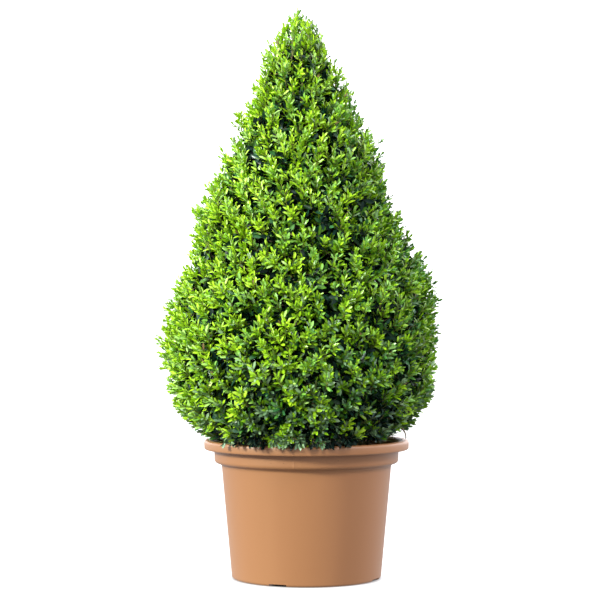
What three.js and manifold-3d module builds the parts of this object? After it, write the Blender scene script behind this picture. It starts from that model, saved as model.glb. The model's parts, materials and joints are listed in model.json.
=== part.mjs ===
// Boxwood cone topiary in a round nursery pot, as an assembly of separate solids.
//
// A stem with a root flare stands in the compost and runs up the middle of the clipped crown. Boughs
// leave it in tiers, rise outwards, and each carries one mass of foliage: a thick curved pad with leafy
// shoots standing out of it. The masses lie side by side like the scales of a cone, and a cap mass sits
// round the stem's tip.
//
// Millimetres, +Z up. The origin is the centre of the pot's flat underside.

import * as THREE from "three";
import { mergeVertices } from "three/addons/utils/BufferGeometryUtils.js";
import Module from "manifold-3d";

const wasm = await Module();
wasm.setup();

// ------------------------------------------------------------------------------------------
// Driving dimensions

const SEAT_GAP = 0.3; // clearance where two solids meet
const EAST = new THREE.Vector3(1, 0, 0);
const NORTH = new THREE.Vector3(0, 1, 0);

// Pot: a tapered wall, a stepped band near the top and a rolled rim
const POT_RIM_RADIUS = 190;
const POT_HEIGHT = 256;
const POT_FOOT_RADIUS = 138;
const POT_WALL = 2.6;
const POT_FLOOR = 3;
const BAND_RADIUS = 171;
const BAND_FOOT = 212;
const BAND_HEAD = 240;
const WALL_HEAD_RADIUS = 157.5; // of the outside of the wall, just under the band
const POT_SEGMENTS = 36;
const DRAIN_COUNT = 4;
const DRAIN_WIDTH = 34;
const DRAIN_HEIGHT = 4.5;
const DRAIN_DEPTH = 24; // inwards from the foot
const DRAIN_BEARING = THREE.MathUtils.degToRad(-112.5); // of the first drain
const DRAIN_OVERRUN = 6; // how far its cutter runs out past the foot
const FOOT_ROUND = 5; // rounding where the wall meets the floor
const RIM_THICKNESS = 13; // of the rolled rim, from its outer edge to the inside of the pot

// Compost
const COMPOST_HEAD = 231; // its flat middle, which the stem stands on
const COMPOST_FALL = 4; // from the middle to the pot wall
const COMPOST_FLAT = 50; // radius of the flat middle
const COMPOST_SHOULDER = 92; // radius at which its fall steepens

// Crown
const CROWN_FOOT = 258;
const CROWN_TOP = 1047;
const CROWN_RADIUS = 262; // where it is widest
const CROWN_LEAN = -16; // sideways shift in X of the tip
const SHOOT_REACH = 32; // from a pad's surface out to the clipped outline
const PAD_DEPTH = 54; // thickness of a pad
const PAD_GAP = 0.9; // between two neighbouring masses
const PAD_EDGE_DROP = 11; // how far a pad's rounded edge falls back
const PAD_ROWS = 5;
const PAD_COLUMNS = 6;
const PAD_BORDER = 0.07; // share of a pad's width and height over which it rounds off
const CAP_ROWS = 7;
const CAP_SEGMENTS = 18;
const SWELLING_DEPTH = 5.8; // height of the low swellings on the pads' outer faces
const CAP_SWELLING = 0.7; // relief of the cap over that of the pads

// The clipped outline, from the crown's foot to its tip: share of its height, share of its greatest radius
const CROWN_OUTLINE = [
  [0, 0.66],
  [0.045, 0.82],
  [0.11, 0.94],
  [0.2, 0.99],
  [0.32, 0.94],
  [0.47, 0.78],
  [0.62, 0.6],
  [0.77, 0.395],
  [0.9, 0.235],
  [0.97, 0.115],
  [1, 0],
];

// Shoots grow more upright higher up the crown: share of its height, degrees above the horizontal
const SHOOT_RISE = [
  [0, -18],
  [0.06, 0],
  [0.25, 28],
  [0.5, 40],
  [0.8, 46],
  [0.94, 60],
  [0.955, 90],
];

// Tiers of masses from the foot up: head is the share of the crown's height at which the tier ends
const TIERS = [
  { name: "lower", head: 0.25, sectors: 5, shoots: 9, boughRadius: 8 },
  { name: "middle", head: 0.5, sectors: 5, shoots: 9, boughRadius: 6 },
  { name: "upper", head: 0.745, sectors: 4, shoots: 8, boughRadius: 4.5 },
  { name: "tip", head: 1, sectors: 1, shoots: 17, boughRadius: 0 },
];
const TIER_TWIST = 0.5; // share of a sector by which each tier is turned from the one below
const FOOT_INSET = 14; // the lowest pads start this far above the crown's foot
const TIP_HOLLOW = 30; // radius at which the cap's underside flattens

// Stem
const STEM_RADIUS = 13;
const STEM_FLARE = 9; // extra radius at the root flare
const STEM_FLARE_HEIGHT = 22;
const STEM_TIP_RADIUS = 2.5;
const STEM_TOP = 955;
const STEM_SWAY = 3; // how far it wanders either side of the crown's axis
const STEM_STRAIGHT = 60; // length above the compost over which the sway sets in
const STEM_STEPS = 10;
const STEM_SIDES = 8;

// Boughs
const LIMB_SIDES = 6;
const BOUGH_STEPS = 4;
const BOUGH_TAPER = 0.55; // tip radius over base radius
const BOUGH_FOOT = 256; // lowest height at which one leaves the stem
const BOUGH_STAGGER = 16; // the boughs of one tier leave the stem over this much of its height
const BOUGH_RISE = 0.85; // rise of a bough over its reach from the stem
const BOUGH_BEND = 0.45; // share of its length over which it bends into line with what it carries
const STUB = 18; // the mass's own stem, from the bough's tip to the pad

// Shoots and leaves
const LEAF_LENGTH = 40;
const LEAF_WIDTH = 18;
const LEAF_THICKNESS = 2;
const LEAF_WAIST = 0.48; // where a leaf is widest, as a share of its length
const SIDE_LEAVES = [
  { back: 0.8, spread: 42, turn: 0 },
  { back: 1.0, spread: 48, turn: 120 },
  { back: 1.15, spread: 54, turn: 240 },
];
const SPREAD_STEPS = [0.7548776662, 0.5698402909]; // steps that fill a square evenly with places
const PLACES_ACROSS = 0.9; // share of a pad's width and height that shoots stand on
const SHOOT_LOOSENESS = 0.3; // spread of a shoot's heading about the rule, in radians
const TWIG_RADIUS = 2.6;
const TWIG_TIP_RADIUS = 1.9;
const TWIG_SUNK = 10; // length of twig inside its pad
const POT_KEEP_OUT = 3; // nothing grows closer than this to the pot
const SPACE_MARGIN = 0.7; // nothing grows closer than this to the edge of its own space
const SEED = 20817;

// ------------------------------------------------------------------------------------------
// Solids

// A closed manifold-3d solid from a three.js geometry.
function solid(geometry) {
  const bare = geometry.clone();
  bare.deleteAttribute("normal");
  bare.deleteAttribute("uv");
  const merged = mergeVertices(bare, 1e-4);
  return new wasm.Manifold(
    new wasm.Mesh({
      numProp: 3,
      vertProperties: new Float32Array(merged.attributes.position.array),
      triVerts: new Uint32Array(merged.index.array),
    }),
  );
}

// The largest connected piece of a solid, which drops loose scraps and fills sealed hollows.
function mainPiece(made) {
  return made.decompose().reduce((a, b) => (b.volume() > a.volume() ? b : a));
}

// A three.js geometry from a manifold-3d solid.
function geometryOf(made) {
  const mesh = made.getMesh();
  const geometry = new THREE.BufferGeometry();
  const positions = new Float32Array(mesh.numVert * 3);
  for (let i = 0; i < mesh.numVert; i++)
    positions.set(mesh.vertProperties.subarray(i * mesh.numProp, i * mesh.numProp + 3), i * 3);
  geometry.setAttribute("position", new THREE.BufferAttribute(positions, 3));
  geometry.setIndex(new THREE.BufferAttribute(new Uint32Array(mesh.triVerts), 1));
  geometry.computeVertexNormals();
  return geometry;
}

function indexedGeometry(points, triangles) {
  const geometry = new THREE.BufferGeometry();
  geometry.setAttribute(
    "position",
    new THREE.Float32BufferAttribute(points.flatMap((p) => [p.x, p.y, p.z]), 3),
  );
  geometry.setIndex(triangles.flat());
  return geometry;
}

// Corners of a regular polygon about a centre, in the plane of the two directions across and along.
function ring(centre, across, along, radius, sides) {
  return Array.from({ length: sides }, (_, j) => {
    const turn = (j / sides) * 2 * Math.PI;
    return centre
      .clone()
      .addScaledVector(across, Math.cos(turn) * radius)
      .addScaledVector(along, Math.sin(turn) * radius);
  });
}

// A tube through rings of equally many corners, closed by flat ends.
function ringedSolid(rings) {
  const sides = rings[0].length;
  const last = (rings.length - 1) * sides;
  const triangles = [];
  for (let start = 0; start < last; start += sides)
    for (let j = 0; j < sides; j++) {
      const [a, b] = [start + j, start + ((j + 1) % sides)];
      triangles.push([a, b, b + sides], [a, b + sides, a + sides]);
    }
  for (let j = 1; j < sides - 1; j++)
    triangles.push([0, j + 1, j], [last, last + j, last + j + 1]);
  return solid(indexedGeometry(rings.flat(), triangles));
}

// A round tapering limb along a curve, closed by flat ends. radiusAt takes the share of its length.
function limb(curve, radiusAt, steps) {
  const frames = curve.computeFrenetFrames(steps, false);
  const rings = Array.from({ length: steps + 1 }, (_, i) => {
    const radius = radiusAt(i / steps);
    return ring(curve.getPointAt(i / steps), frames.normals[i], frames.binormals[i], radius, LIMB_SIDES);
  });
  return ringedSolid(rings);
}

// ------------------------------------------------------------------------------------------
// Shape of the crown

// Linear interpolation in a list of [x, y] rows.
function along(rows, x) {
  const next = Math.max(1, rows.findIndex((row) => row[0] >= x));
  const [[x0, y0], [x1, y1]] = x > rows.at(-1)[0] ? rows.slice(-2) : [rows[next - 1], rows[next]];
  return THREE.MathUtils.lerp(y0, y1, THREE.MathUtils.clamp((x - x0) / (x1 - x0), 0, 1));
}

const smoothOutline = new THREE.SplineCurve(CROWN_OUTLINE.map((row) => new THREE.Vector2(...row)))
  .getPoints(200)
  .map((p) => [p.x, p.y]);
const CROWN_HEIGHT = CROWN_TOP - CROWN_FOOT;

const shareOf = (z) => (z - CROWN_FOOT) / CROWN_HEIGHT;
const heightAt = (share) => CROWN_FOOT + share * CROWN_HEIGHT;
const outlineRadius = (z) => along(smoothOutline, shareOf(z)) * CROWN_RADIUS;
const padRadius = (z) => Math.max(0, outlineRadius(z) - SHOOT_REACH);
const riseAt = (z) => THREE.MathUtils.degToRad(along(SHOOT_RISE, shareOf(z)));

// Height at which the pads' surface closes over the stem.
function padTop() {
  let z = CROWN_TOP;
  while (padRadius(z) <= 0) z -= 1;
  return z;
}
const PAD_TOP = padTop();

// The crown's axis leans most near its foot, where the stem leaves the compost.
const axisX = (z) => {
  const share = (z - COMPOST_HEAD) / (CROWN_TOP - COMPOST_HEAD);
  return CROWN_LEAN * Math.sqrt(THREE.MathUtils.clamp(share, 0, 1));
};
const place = (radius, bearing, z) =>
  new THREE.Vector3(axisX(z) + radius * Math.cos(bearing), radius * Math.sin(bearing), z);
const radiusFrom = (p) => Math.hypot(p.x - axisX(p.z), p.y);

// Low swellings and hollows over the pads, which close on themselves round the crown.
const swelling = (bearing, z) =>
  SWELLING_DEPTH * (0.55 * Math.sin(7 * bearing + z / 37) + 0.45 * Math.sin(11 * bearing - z / 23 + 1));

// ------------------------------------------------------------------------------------------
// Pot

// The inside runs parallel to the outside. inset grows it inwards, for what fills it.
function potInside(inset) {
  const wallSlope = (WALL_HEAD_RADIUS - POT_FOOT_RADIUS) / BAND_FOOT;
  const wallAt = (z) => POT_FOOT_RADIUS + wallSlope * z - POT_WALL - inset;
  return [
    [wallAt(POT_FLOOR) - FOOT_ROUND / 2, POT_FLOOR + inset],
    [wallAt(POT_FLOOR + FOOT_ROUND), POT_FLOOR + FOOT_ROUND],
    [wallAt(BAND_FOOT - POT_WALL), BAND_FOOT - POT_WALL],
    [BAND_RADIUS - POT_WALL - inset - 1.5, BAND_FOOT + POT_WALL + 1],
  ];
}

function potSolid() {
  const outside = [
    [0, 0],
    [POT_FOOT_RADIUS - FOOT_ROUND, 0],
    [POT_FOOT_RADIUS - 0.5, FOOT_ROUND * 0.7],
    [WALL_HEAD_RADIUS, BAND_FOOT],
    [BAND_RADIUS - 2, BAND_FOOT + 1],
    [BAND_RADIUS, BAND_HEAD],
    [POT_RIM_RADIUS - 3, BAND_HEAD + 0.8],
    [POT_RIM_RADIUS, BAND_HEAD + 5],
    [POT_RIM_RADIUS - 1.5, POT_HEIGHT - 2.5],
    [POT_RIM_RADIUS - RIM_THICKNESS / 2, POT_HEIGHT],
    [POT_RIM_RADIUS - RIM_THICKNESS, POT_HEIGHT - 2],
    [BAND_RADIUS - POT_WALL, BAND_HEAD],
  ];
  const profile = [...outside, ...potInside(0).reverse(), [0, POT_FLOOR]];
  let pot = solid(lathe(profile));
  for (let i = 0; i < DRAIN_COUNT; i++) {
    const drain = new THREE.BoxGeometry(DRAIN_DEPTH + DRAIN_OVERRUN, DRAIN_WIDTH, DRAIN_HEIGHT * 2);
    drain.translate(POT_FOOT_RADIUS + (DRAIN_OVERRUN - DRAIN_DEPTH) / 2, 0, 0);
    drain.rotateZ(DRAIN_BEARING + (i / DRAIN_COUNT) * 2 * Math.PI);
    pot = pot.subtract(solid(drain));
  }
  return pot;
}

// A solid of revolution about Z from [radius, height] rows that run anticlockwise in the XZ half-plane.
function lathe(rows) {
  const geometry = new THREE.LatheGeometry(rows.map((row) => new THREE.Vector2(...row)), POT_SEGMENTS);
  return geometry.rotateX(Math.PI / 2);
}

function compostSolid() {
  const profile = [
    [0, POT_FLOOR + SEAT_GAP],
    ...potInside(SEAT_GAP),
    [BAND_RADIUS - POT_WALL - SEAT_GAP - 0.8, COMPOST_HEAD - COMPOST_FALL],
    [COMPOST_SHOULDER, COMPOST_HEAD - COMPOST_FALL * 0.3],
    [COMPOST_FLAT, COMPOST_HEAD],
    [0, COMPOST_HEAD],
  ];
  return solid(lathe(profile));
}

// ------------------------------------------------------------------------------------------
// Stem and boughs

function stemRadiusAt(z) {
  const share = (z - COMPOST_HEAD) / (STEM_TOP - COMPOST_HEAD);
  const flare = STEM_FLARE * Math.exp(-(z - COMPOST_HEAD) / STEM_FLARE_HEIGHT);
  return THREE.MathUtils.lerp(STEM_RADIUS, STEM_TIP_RADIUS, share) + flare;
}

const stemCentre = (z) => {
  const sway = STEM_SWAY * Math.min(1, (z - COMPOST_HEAD) / STEM_STRAIGHT);
  return new THREE.Vector3(axisX(z) + sway * Math.sin(z / 71), sway * Math.sin(z / 53 + 2), z);
};

// extra widens the stem, to cut clearance for it from its neighbours.
function stemSolid(extra) {
  const rings = Array.from({ length: STEM_STEPS + 1 }, (_, i) => {
    const z = THREE.MathUtils.lerp(COMPOST_HEAD + SEAT_GAP, STEM_TOP + extra, (i / STEM_STEPS) ** 1.6);
    const radius = stemRadiusAt(Math.min(z, STEM_TOP)) + extra;
    return ring(stemCentre(z), EAST, NORTH, radius, STEM_SIDES);
  });
  return ringedSolid(rings);
}

// A bough leaves the stem below its mass and bends into line with the mass's own stem.
function boughCurve(space) {
  const tip = space.stubFoot;
  const fall = radiusFrom(tip) * BOUGH_RISE;
  const stagger = BOUGH_STAGGER * ((space.index * 0.618) % 1);
  const foot = stemCentre(Math.max(BOUGH_FOOT, tip.z - fall) + stagger);
  const inLine = tip.clone().sub(space.fork).setLength(foot.distanceTo(tip) * BOUGH_BEND);
  return new THREE.QuadraticBezierCurve3(foot, tip.clone().add(inLine), tip);
}

function boughSolid(space, stemClearance) {
  const radiusAt = (share) => space.boughRadius * THREE.MathUtils.lerp(1, BOUGH_TAPER, share);
  return mainPiece(limb(boughCurve(space), radiusAt, BOUGH_STEPS).subtract(stemClearance));
}

// ------------------------------------------------------------------------------------------
// Spaces: where each mass grows

// A tier's edge is a cone that runs inwards and down from the outline at the slope of the shoots there.
const edgeSlope = (z) => (z <= CROWN_FOOT + FOOT_INSET ? 0 : Math.tan(riseAt(z)));
const edgeHeight = (z, radius) => z + edgeSlope(z) * (radius - padRadius(z));

function makeSpaces() {
  const spaces = [];
  TIERS.forEach((tier, level) => {
    const foot = level ? heightAt(TIERS[level - 1].head) : CROWN_FOOT + FOOT_INSET;
    const head = heightAt(tier.head);
    const width = (2 * Math.PI) / tier.sectors;
    for (let index = 0; index < tier.sectors; index++) {
      const middle = -Math.PI / 2 + (index + level * TIER_TWIST) * width;
      const middleHeight = (foot + head) / 2;
      const depth = PAD_DEPTH + STUB;
      const middleSlope = (edgeSlope(foot) + edgeSlope(head)) / 2;
      spaces.push({
        ...tier,
        index,
        foot,
        head,
        middle,
        width,
        middleHeight,
        isLowest: level === 0,
        label: tier.sectors > 1 ? `${tier.name}_${index + 1}` : tier.name,
        stubFoot: place(padRadius(middleHeight) - depth, middle, middleHeight - middleSlope * depth),
        fork: place(
          padRadius(middleHeight) - PAD_DEPTH / 2,
          middle,
          middleHeight - (middleSlope * PAD_DEPTH) / 2,
        ),
      });
    }
  });
  return spaces;
}

// True where a point lies in the mass's own space, inside the clipped outline and clear of the pot.
function inSpace(space, p) {
  const radius = radiusFrom(p);
  if (radius < POT_RIM_RADIUS + POT_KEEP_OUT && p.z < POT_HEIGHT + POT_KEEP_OUT) return false;
  if (space.sectors > 1) {
    const bearing = Math.atan2(p.y, p.x - axisX(p.z)) - space.middle;
    const turned = Math.atan2(Math.sin(bearing), Math.cos(bearing));
    const sideways = (space.width / 2 - Math.abs(turned)) * radius;
    if (sideways < PAD_GAP / 2 + SPACE_MARGIN) return false;
  }
  if (!space.isLowest && p.z < edgeHeight(space.foot, radius) + PAD_GAP / 2 + SPACE_MARGIN) return false;
  return space.head >= CROWN_TOP || p.z < edgeHeight(space.head, radius) - PAD_GAP / 2 - SPACE_MARGIN;
}

// ------------------------------------------------------------------------------------------
// Masses of foliage

// Grid lines crowd towards a pad's edges, where it rounds off.
function gridLines(count) {
  const step = (1 - 2 * PAD_BORDER) / (count - 2);
  return [0, ...Array.from({ length: count - 1 }, (_, i) => PAD_BORDER + step * i), 1];
}

// A curved pad: a rounded outer face, four edges that follow the space's own, and a plain inner face.
function padSolid(space) {
  const columns = gridLines(PAD_COLUMNS);
  const rows = gridLines(PAD_ROWS);
  const halfGap = PAD_GAP / 2;
  const point = (u, v, depth) => {
    const outer = THREE.MathUtils.lerp(space.foot + halfGap, space.head - halfGap, v);
    const slope = THREE.MathUtils.lerp(edgeSlope(space.foot), edgeSlope(space.head), v);
    const radius = padRadius(outer) - depth;
    const halfAngle = space.width / 2 - halfGap / Math.max(radius, 1);
    return place(radius, space.middle + (2 * u - 1) * halfAngle, outer - slope * depth);
  };
  const outerDepth = (u, v) => {
    const onEdge = u === 0 || u === 1 || v === 0 || v === 1;
    const outer = THREE.MathUtils.lerp(space.foot, space.head, v);
    return onEdge ? PAD_EDGE_DROP : -swelling(space.middle + (u - 0.5) * space.width, outer);
  };
  const points = [];
  for (const v of rows) for (const u of columns) points.push(point(u, v, outerDepth(u, v)));
  const across = columns.length;
  const down = rows.length;
  const triangles = [];
  for (let i = 0; i < down - 1; i++)
    for (let j = 0; j < across - 1; j++) {
      const a = i * across + j;
      triangles.push([a, a + 1, a + across + 1], [a, a + across + 1, a + across]);
    }
  // The border of the outer face, anticlockwise from outside, and the same points on the inner face.
  const border = [
    ...columns.map((u, j) => [j, u, 0]),
    ...rows.slice(1).map((v, i) => [(i + 1) * across + across - 1, 1, v]),
    ...columns.slice(0, -1).reverse().map((u, j) => [(down - 1) * across + across - 2 - j, u, 1]),
    ...rows.slice(1, -1).reverse().map((v, i) => [(down - 2 - i) * across, 0, v]),
  ];
  const innerStart = points.length;
  for (const [, u, v] of border) points.push(point(u, v, PAD_DEPTH));
  const centre = points.length;
  points.push(point(0.5, 0.5, PAD_DEPTH));
  border.forEach(([outerA], i) => {
    const next = (i + 1) % border.length;
    const outerB = border[next][0];
    triangles.push([outerA, innerStart + i, innerStart + next], [outerA, innerStart + next, outerB]);
    triangles.push([centre, innerStart + next, innerStart + i]);
  });
  return solid(indexedGeometry(points, triangles));
}

// The cap is a full round, hollowed only for the stem.
function capSolid(space, stemClearance) {
  const foot = space.foot + PAD_GAP / 2;
  const outside = Array.from({ length: CAP_ROWS + 1 }, (_, i) => {
    const z = THREE.MathUtils.lerp(foot, PAD_TOP, i / CAP_ROWS);
    return [i === CAP_ROWS ? 0 : padRadius(z), z];
  });
  const hollowHeight = edgeHeight(space.foot, TIP_HOLLOW) + PAD_GAP / 2;
  const profile = [[0, hollowHeight], [TIP_HOLLOW, hollowHeight], ...outside];
  const geometry = new THREE.LatheGeometry(profile.map((row) => new THREE.Vector2(...row)), CAP_SEGMENTS);
  geometry.rotateX(Math.PI / 2);
  const position = geometry.attributes.position;
  for (let i = 0; i < position.count; i++) {
    const p = new THREE.Vector3().fromBufferAttribute(position, i);
    const radius = Math.hypot(p.x, p.y);
    const isUnderside = p.z < foot + 1;
    const bearing = Math.atan2(p.y, p.x);
    const relief = isUnderside || radius < 1 ? 0 : swelling(bearing, p.z) * CAP_SWELLING;
    const moved = place(radius + relief, bearing, p.z);
    position.setXYZ(i, moved.x, moved.y, moved.z);
  }
  return solid(geometry).subtract(stemClearance);
}

// The two ends of a blade's widest line and its ridge above and below, then its tip.
function bladePoints(root, direction, upper, length) {
  const side = new THREE.Vector3().crossVectors(direction, upper).normalize();
  const waist = root.clone().addScaledVector(direction, length * LEAF_WAIST);
  return [
    waist.clone().addScaledVector(upper, LEAF_THICKNESS / 2),
    waist.clone().addScaledVector(side, LEAF_WIDTH / 2),
    waist.clone().addScaledVector(upper, -LEAF_THICKNESS / 2),
    waist.clone().addScaledVector(side, -LEAF_WIDTH / 2),
    root.clone().addScaledVector(direction, length),
  ];
}

// A leaf: a flat rhombus with a ridge on each face, eight faces in all.
function leafSolid(root, blade) {
  const triangles = [];
  for (let i = 0; i < 4; i++) {
    const next = (i + 1) % 4;
    triangles.push([5, next, i], [4, i, next]);
  }
  return solid(indexedGeometry([...blade, root], triangles));
}

// A three-sided twig that runs on into its end leaf, as one closed shape.
function leaderSolid(twigFoot, twigTip, across, blade) {
  const direction = twigTip.clone().sub(twigFoot).normalize();
  const beside = new THREE.Vector3().crossVectors(direction, across);
  const points = [
    ...ring(twigFoot, across, beside, TWIG_RADIUS, 3),
    ...ring(twigTip, across, beside, TWIG_TIP_RADIUS, 3),
    ...blade,
  ];
  const triangles = [[0, 2, 1]];
  for (let i = 0; i < 3; i++) {
    const next = (i + 1) % 3;
    triangles.push([i, next, next + 3], [i, next + 3, i + 3]);
  }
  // The twig's three corners meet the blade's four, which start at the same side.
  triangles.push([3, 4, 7], [3, 7, 6], [4, 8, 7], [4, 5, 8], [5, 9, 8], [5, 3, 9], [3, 6, 9]);
  for (let i = 0; i < 4; i++) triangles.push([10, 6 + i, 6 + ((i + 1) % 4)]);
  return solid(indexedGeometry(points, triangles));
}

// A seeded stream of numbers from 0 to 1.
function seededRandom(seed) {
  let state = seed;
  return () => {
    state = (state + 0x6d2b79f5) | 0;
    let t = Math.imul(state ^ (state >>> 15), 1 | state);
    t = (t + Math.imul(t ^ (t >>> 7), 61 | t)) ^ t;
    return ((t ^ (t >>> 14)) >>> 0) / 4294967296;
  };
}

// Spreads shoots evenly over a mass: bearing and height of each one's place on the pad.
function shootPlaces(space, random) {
  const isCap = space.sectors === 1;
  const top = Math.min(space.head, PAD_TOP);
  const places = [];
  for (let i = 0; i < space.shoots; i++) {
    const u = (0.5 + i * SPREAD_STEPS[0] + (random() - 0.5) * 0.06) % 1;
    const v = (0.5 + i * SPREAD_STEPS[1]) % 1;
    const bearing = space.middle + (u - 0.5) * space.width * (isCap ? 1 : PLACES_ACROSS);
    // On the cap they crowd towards its foot, where it is widest.
    const up = isCap ? 1 - Math.sqrt(1 - v) : 0.5 + (v - 0.5) * PLACES_ACROSS;
    places.push([bearing, THREE.MathUtils.lerp(space.foot, top, up)]);
  }
  if (isCap) places[0] = [space.middle, top];
  return places;
}

// Length from a point to the clipped outline along a direction.
function reachToOutline(from, direction) {
  for (let length = 0; length < 3 * SHOOT_REACH; length += 1) {
    const p = from.clone().addScaledVector(direction, length);
    if (p.z > CROWN_TOP || radiusFrom(p) > outlineRadius(p.z)) return length;
  }
  return 3 * SHOOT_REACH;
}

const touches = (a, b) => !a.intersect(b).isEmpty();

// One shoot: a twig out of the pad with an end leaf, and side leaves that each leave one face of the
// twig. What would leave the mass's space or touch another shoot is left off.
function shootSolids(space, bearing, height, random, others) {
  const isLeader = height === PAD_TOP;
  const jitter = () => (isLeader ? 0 : (random() - 0.5) * SHOOT_LOOSENESS);
  const rise = riseAt(height) + jitter();
  const heading = bearing + jitter();
  const direction = new THREE.Vector3(
    Math.cos(heading) * Math.cos(rise),
    Math.sin(heading) * Math.cos(rise),
    Math.sin(rise),
  );
  const foot = place(padRadius(height), bearing, height).addScaledVector(direction, -TWIG_SUNK);
  const reach = reachToOutline(foot, direction) + (isLeader ? 0 : (random() - 0.5) * 5);
  const tip = foot.clone().addScaledVector(direction, Math.max(TWIG_SUNK + 4, reach - LEAF_LENGTH * 0.75));
  const level = new THREE.Vector3(-Math.sin(heading), Math.cos(heading), 0);
  const across = level.applyAxisAngle(direction, random() * 2 * Math.PI);
  const endRoot = foot.clone().addScaledVector(direction, reach - LEAF_LENGTH);
  const endBlade = bladePoints(endRoot, direction, across, LEAF_LENGTH);
  const fits = (blade) =>
    blade.every((p) => inSpace(space, p)) && inSpace(space, blade[4].clone().lerp(blade[1], 0.5));
  const leader = fits(endBlade) ? leaderSolid(foot, tip, across, endBlade) : null;
  if (!leader || others.some((other) => touches(leader, other))) return [];
  const made = [leader];
  for (const leaf of SIDE_LEAVES) {
    const outward = across.clone().applyAxisAngle(direction, Math.PI + THREE.MathUtils.degToRad(leaf.turn));
    const spread = THREE.MathUtils.degToRad(leaf.spread) + jitter() / 2;
    const [cos, sin] = [Math.cos(spread), Math.sin(spread)];
    const pointing = direction.clone().multiplyScalar(cos).addScaledVector(outward, sin);
    const upper = direction.clone().multiplyScalar(sin).addScaledVector(outward, -cos);
    const rootAlong = Math.max(TWIG_SUNK, reach - LEAF_LENGTH * leaf.back);
    const root = foot.clone().addScaledVector(direction, rootAlong);
    const blade = bladePoints(root, pointing, upper, LEAF_LENGTH * (0.9 + random() * 0.2));
    if (!fits(blade)) continue;
    const side = leafSolid(root, blade);
    if (!others.some((other) => touches(side, other))) made.push(side);
  }
  return made;
}

function massSolid(space, stemClearance) {
  const random = seededRandom(SEED + Math.round(space.middle * 1000) + Math.round(space.foot));
  const pieces = [];
  if (space.sectors > 1) {
    const stub = new THREE.LineCurve3(space.stubFoot, space.fork);
    const start = stub.getPointAt(SEAT_GAP / stub.getLength());
    const radius = space.boughRadius * BOUGH_TAPER;
    pieces.push(padSolid(space), limb(new THREE.LineCurve3(start, space.fork), () => radius, 1));
  } else {
    pieces.push(capSolid(space, stemClearance));
  }
  const shoots = [];
  for (const [bearing, height] of shootPlaces(space, random))
    shoots.push(...shootSolids(space, bearing, height, random, shoots));
  return mainPiece([...pieces, ...shoots].reduce((a, b) => a.add(b)));
}

// ------------------------------------------------------------------------------------------
// Assembly

const MATERIALS = {
  pot: new THREE.MeshStandardMaterial({ color: 0xc28a5c, roughness: 0.5, metalness: 0 }),
  compost: new THREE.MeshStandardMaterial({ color: 0x2b1d14, roughness: 1, metalness: 0 }),
  bark: new THREE.MeshStandardMaterial({ color: 0x7b6a4e, roughness: 0.9, metalness: 0 }),
  foliage: new THREE.MeshStandardMaterial({ color: 0x6fa51f, roughness: 0.45, metalness: 0 }),
};

function buildTopiary() {
  const topiary = new THREE.Group();
  const add = (name, made, material) => {
    const mesh = new THREE.Mesh(geometryOf(made), MATERIALS[material]);
    mesh.name = name;
    topiary.add(mesh);
  };
  const stemClearance = stemSolid(SEAT_GAP);
  add("pot", potSolid(), "pot");
  add("compost", compostSolid(), "compost");
  add("stem", stemSolid(0), "bark");
  for (const space of makeSpaces()) {
    if (space.sectors > 1) add(`bough_${space.label}`, boughSolid(space, stemClearance), "bark");
    add(`foliage_${space.label}`, massSolid(space, stemClearance), "foliage");
  }
  return topiary;
}

export default buildTopiary();
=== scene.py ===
import json
import math

import bmesh
import bpy
import numpy as np
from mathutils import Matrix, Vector, noise

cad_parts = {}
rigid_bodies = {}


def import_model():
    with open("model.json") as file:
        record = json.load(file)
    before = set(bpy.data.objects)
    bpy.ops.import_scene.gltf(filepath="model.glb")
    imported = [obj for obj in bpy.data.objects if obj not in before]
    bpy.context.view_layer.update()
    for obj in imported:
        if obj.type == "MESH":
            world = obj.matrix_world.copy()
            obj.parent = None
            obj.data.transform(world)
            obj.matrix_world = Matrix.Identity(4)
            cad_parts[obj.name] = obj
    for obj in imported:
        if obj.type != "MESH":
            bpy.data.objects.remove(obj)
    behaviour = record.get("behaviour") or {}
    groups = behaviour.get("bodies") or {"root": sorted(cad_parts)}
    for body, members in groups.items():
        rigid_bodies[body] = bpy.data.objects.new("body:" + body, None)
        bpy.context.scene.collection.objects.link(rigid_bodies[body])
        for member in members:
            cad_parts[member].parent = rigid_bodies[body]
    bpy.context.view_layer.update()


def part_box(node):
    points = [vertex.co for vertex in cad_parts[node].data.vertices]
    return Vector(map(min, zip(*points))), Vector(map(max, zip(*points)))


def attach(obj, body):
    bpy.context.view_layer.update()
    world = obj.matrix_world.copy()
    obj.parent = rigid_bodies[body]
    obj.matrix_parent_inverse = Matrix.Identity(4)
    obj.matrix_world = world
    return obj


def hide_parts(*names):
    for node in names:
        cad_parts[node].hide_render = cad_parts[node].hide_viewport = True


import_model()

# Camera: level, a little below the middle of the crown, with a long lens that keeps the pot's rim
# a thin ellipse.
camera_data = bpy.data.cameras.new("camera")
camera_data.sensor_width = 36
camera_data.lens = 117.2
camera_data.clip_end = 1000
camera = bpy.data.objects.new("camera", camera_data)
camera.location = (-0.012, -3.625, 0.514)
camera.rotation_euler = (math.radians(90), 0, 0)
bpy.context.scene.collection.objects.link(camera)
bpy.context.scene.camera = camera

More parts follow.
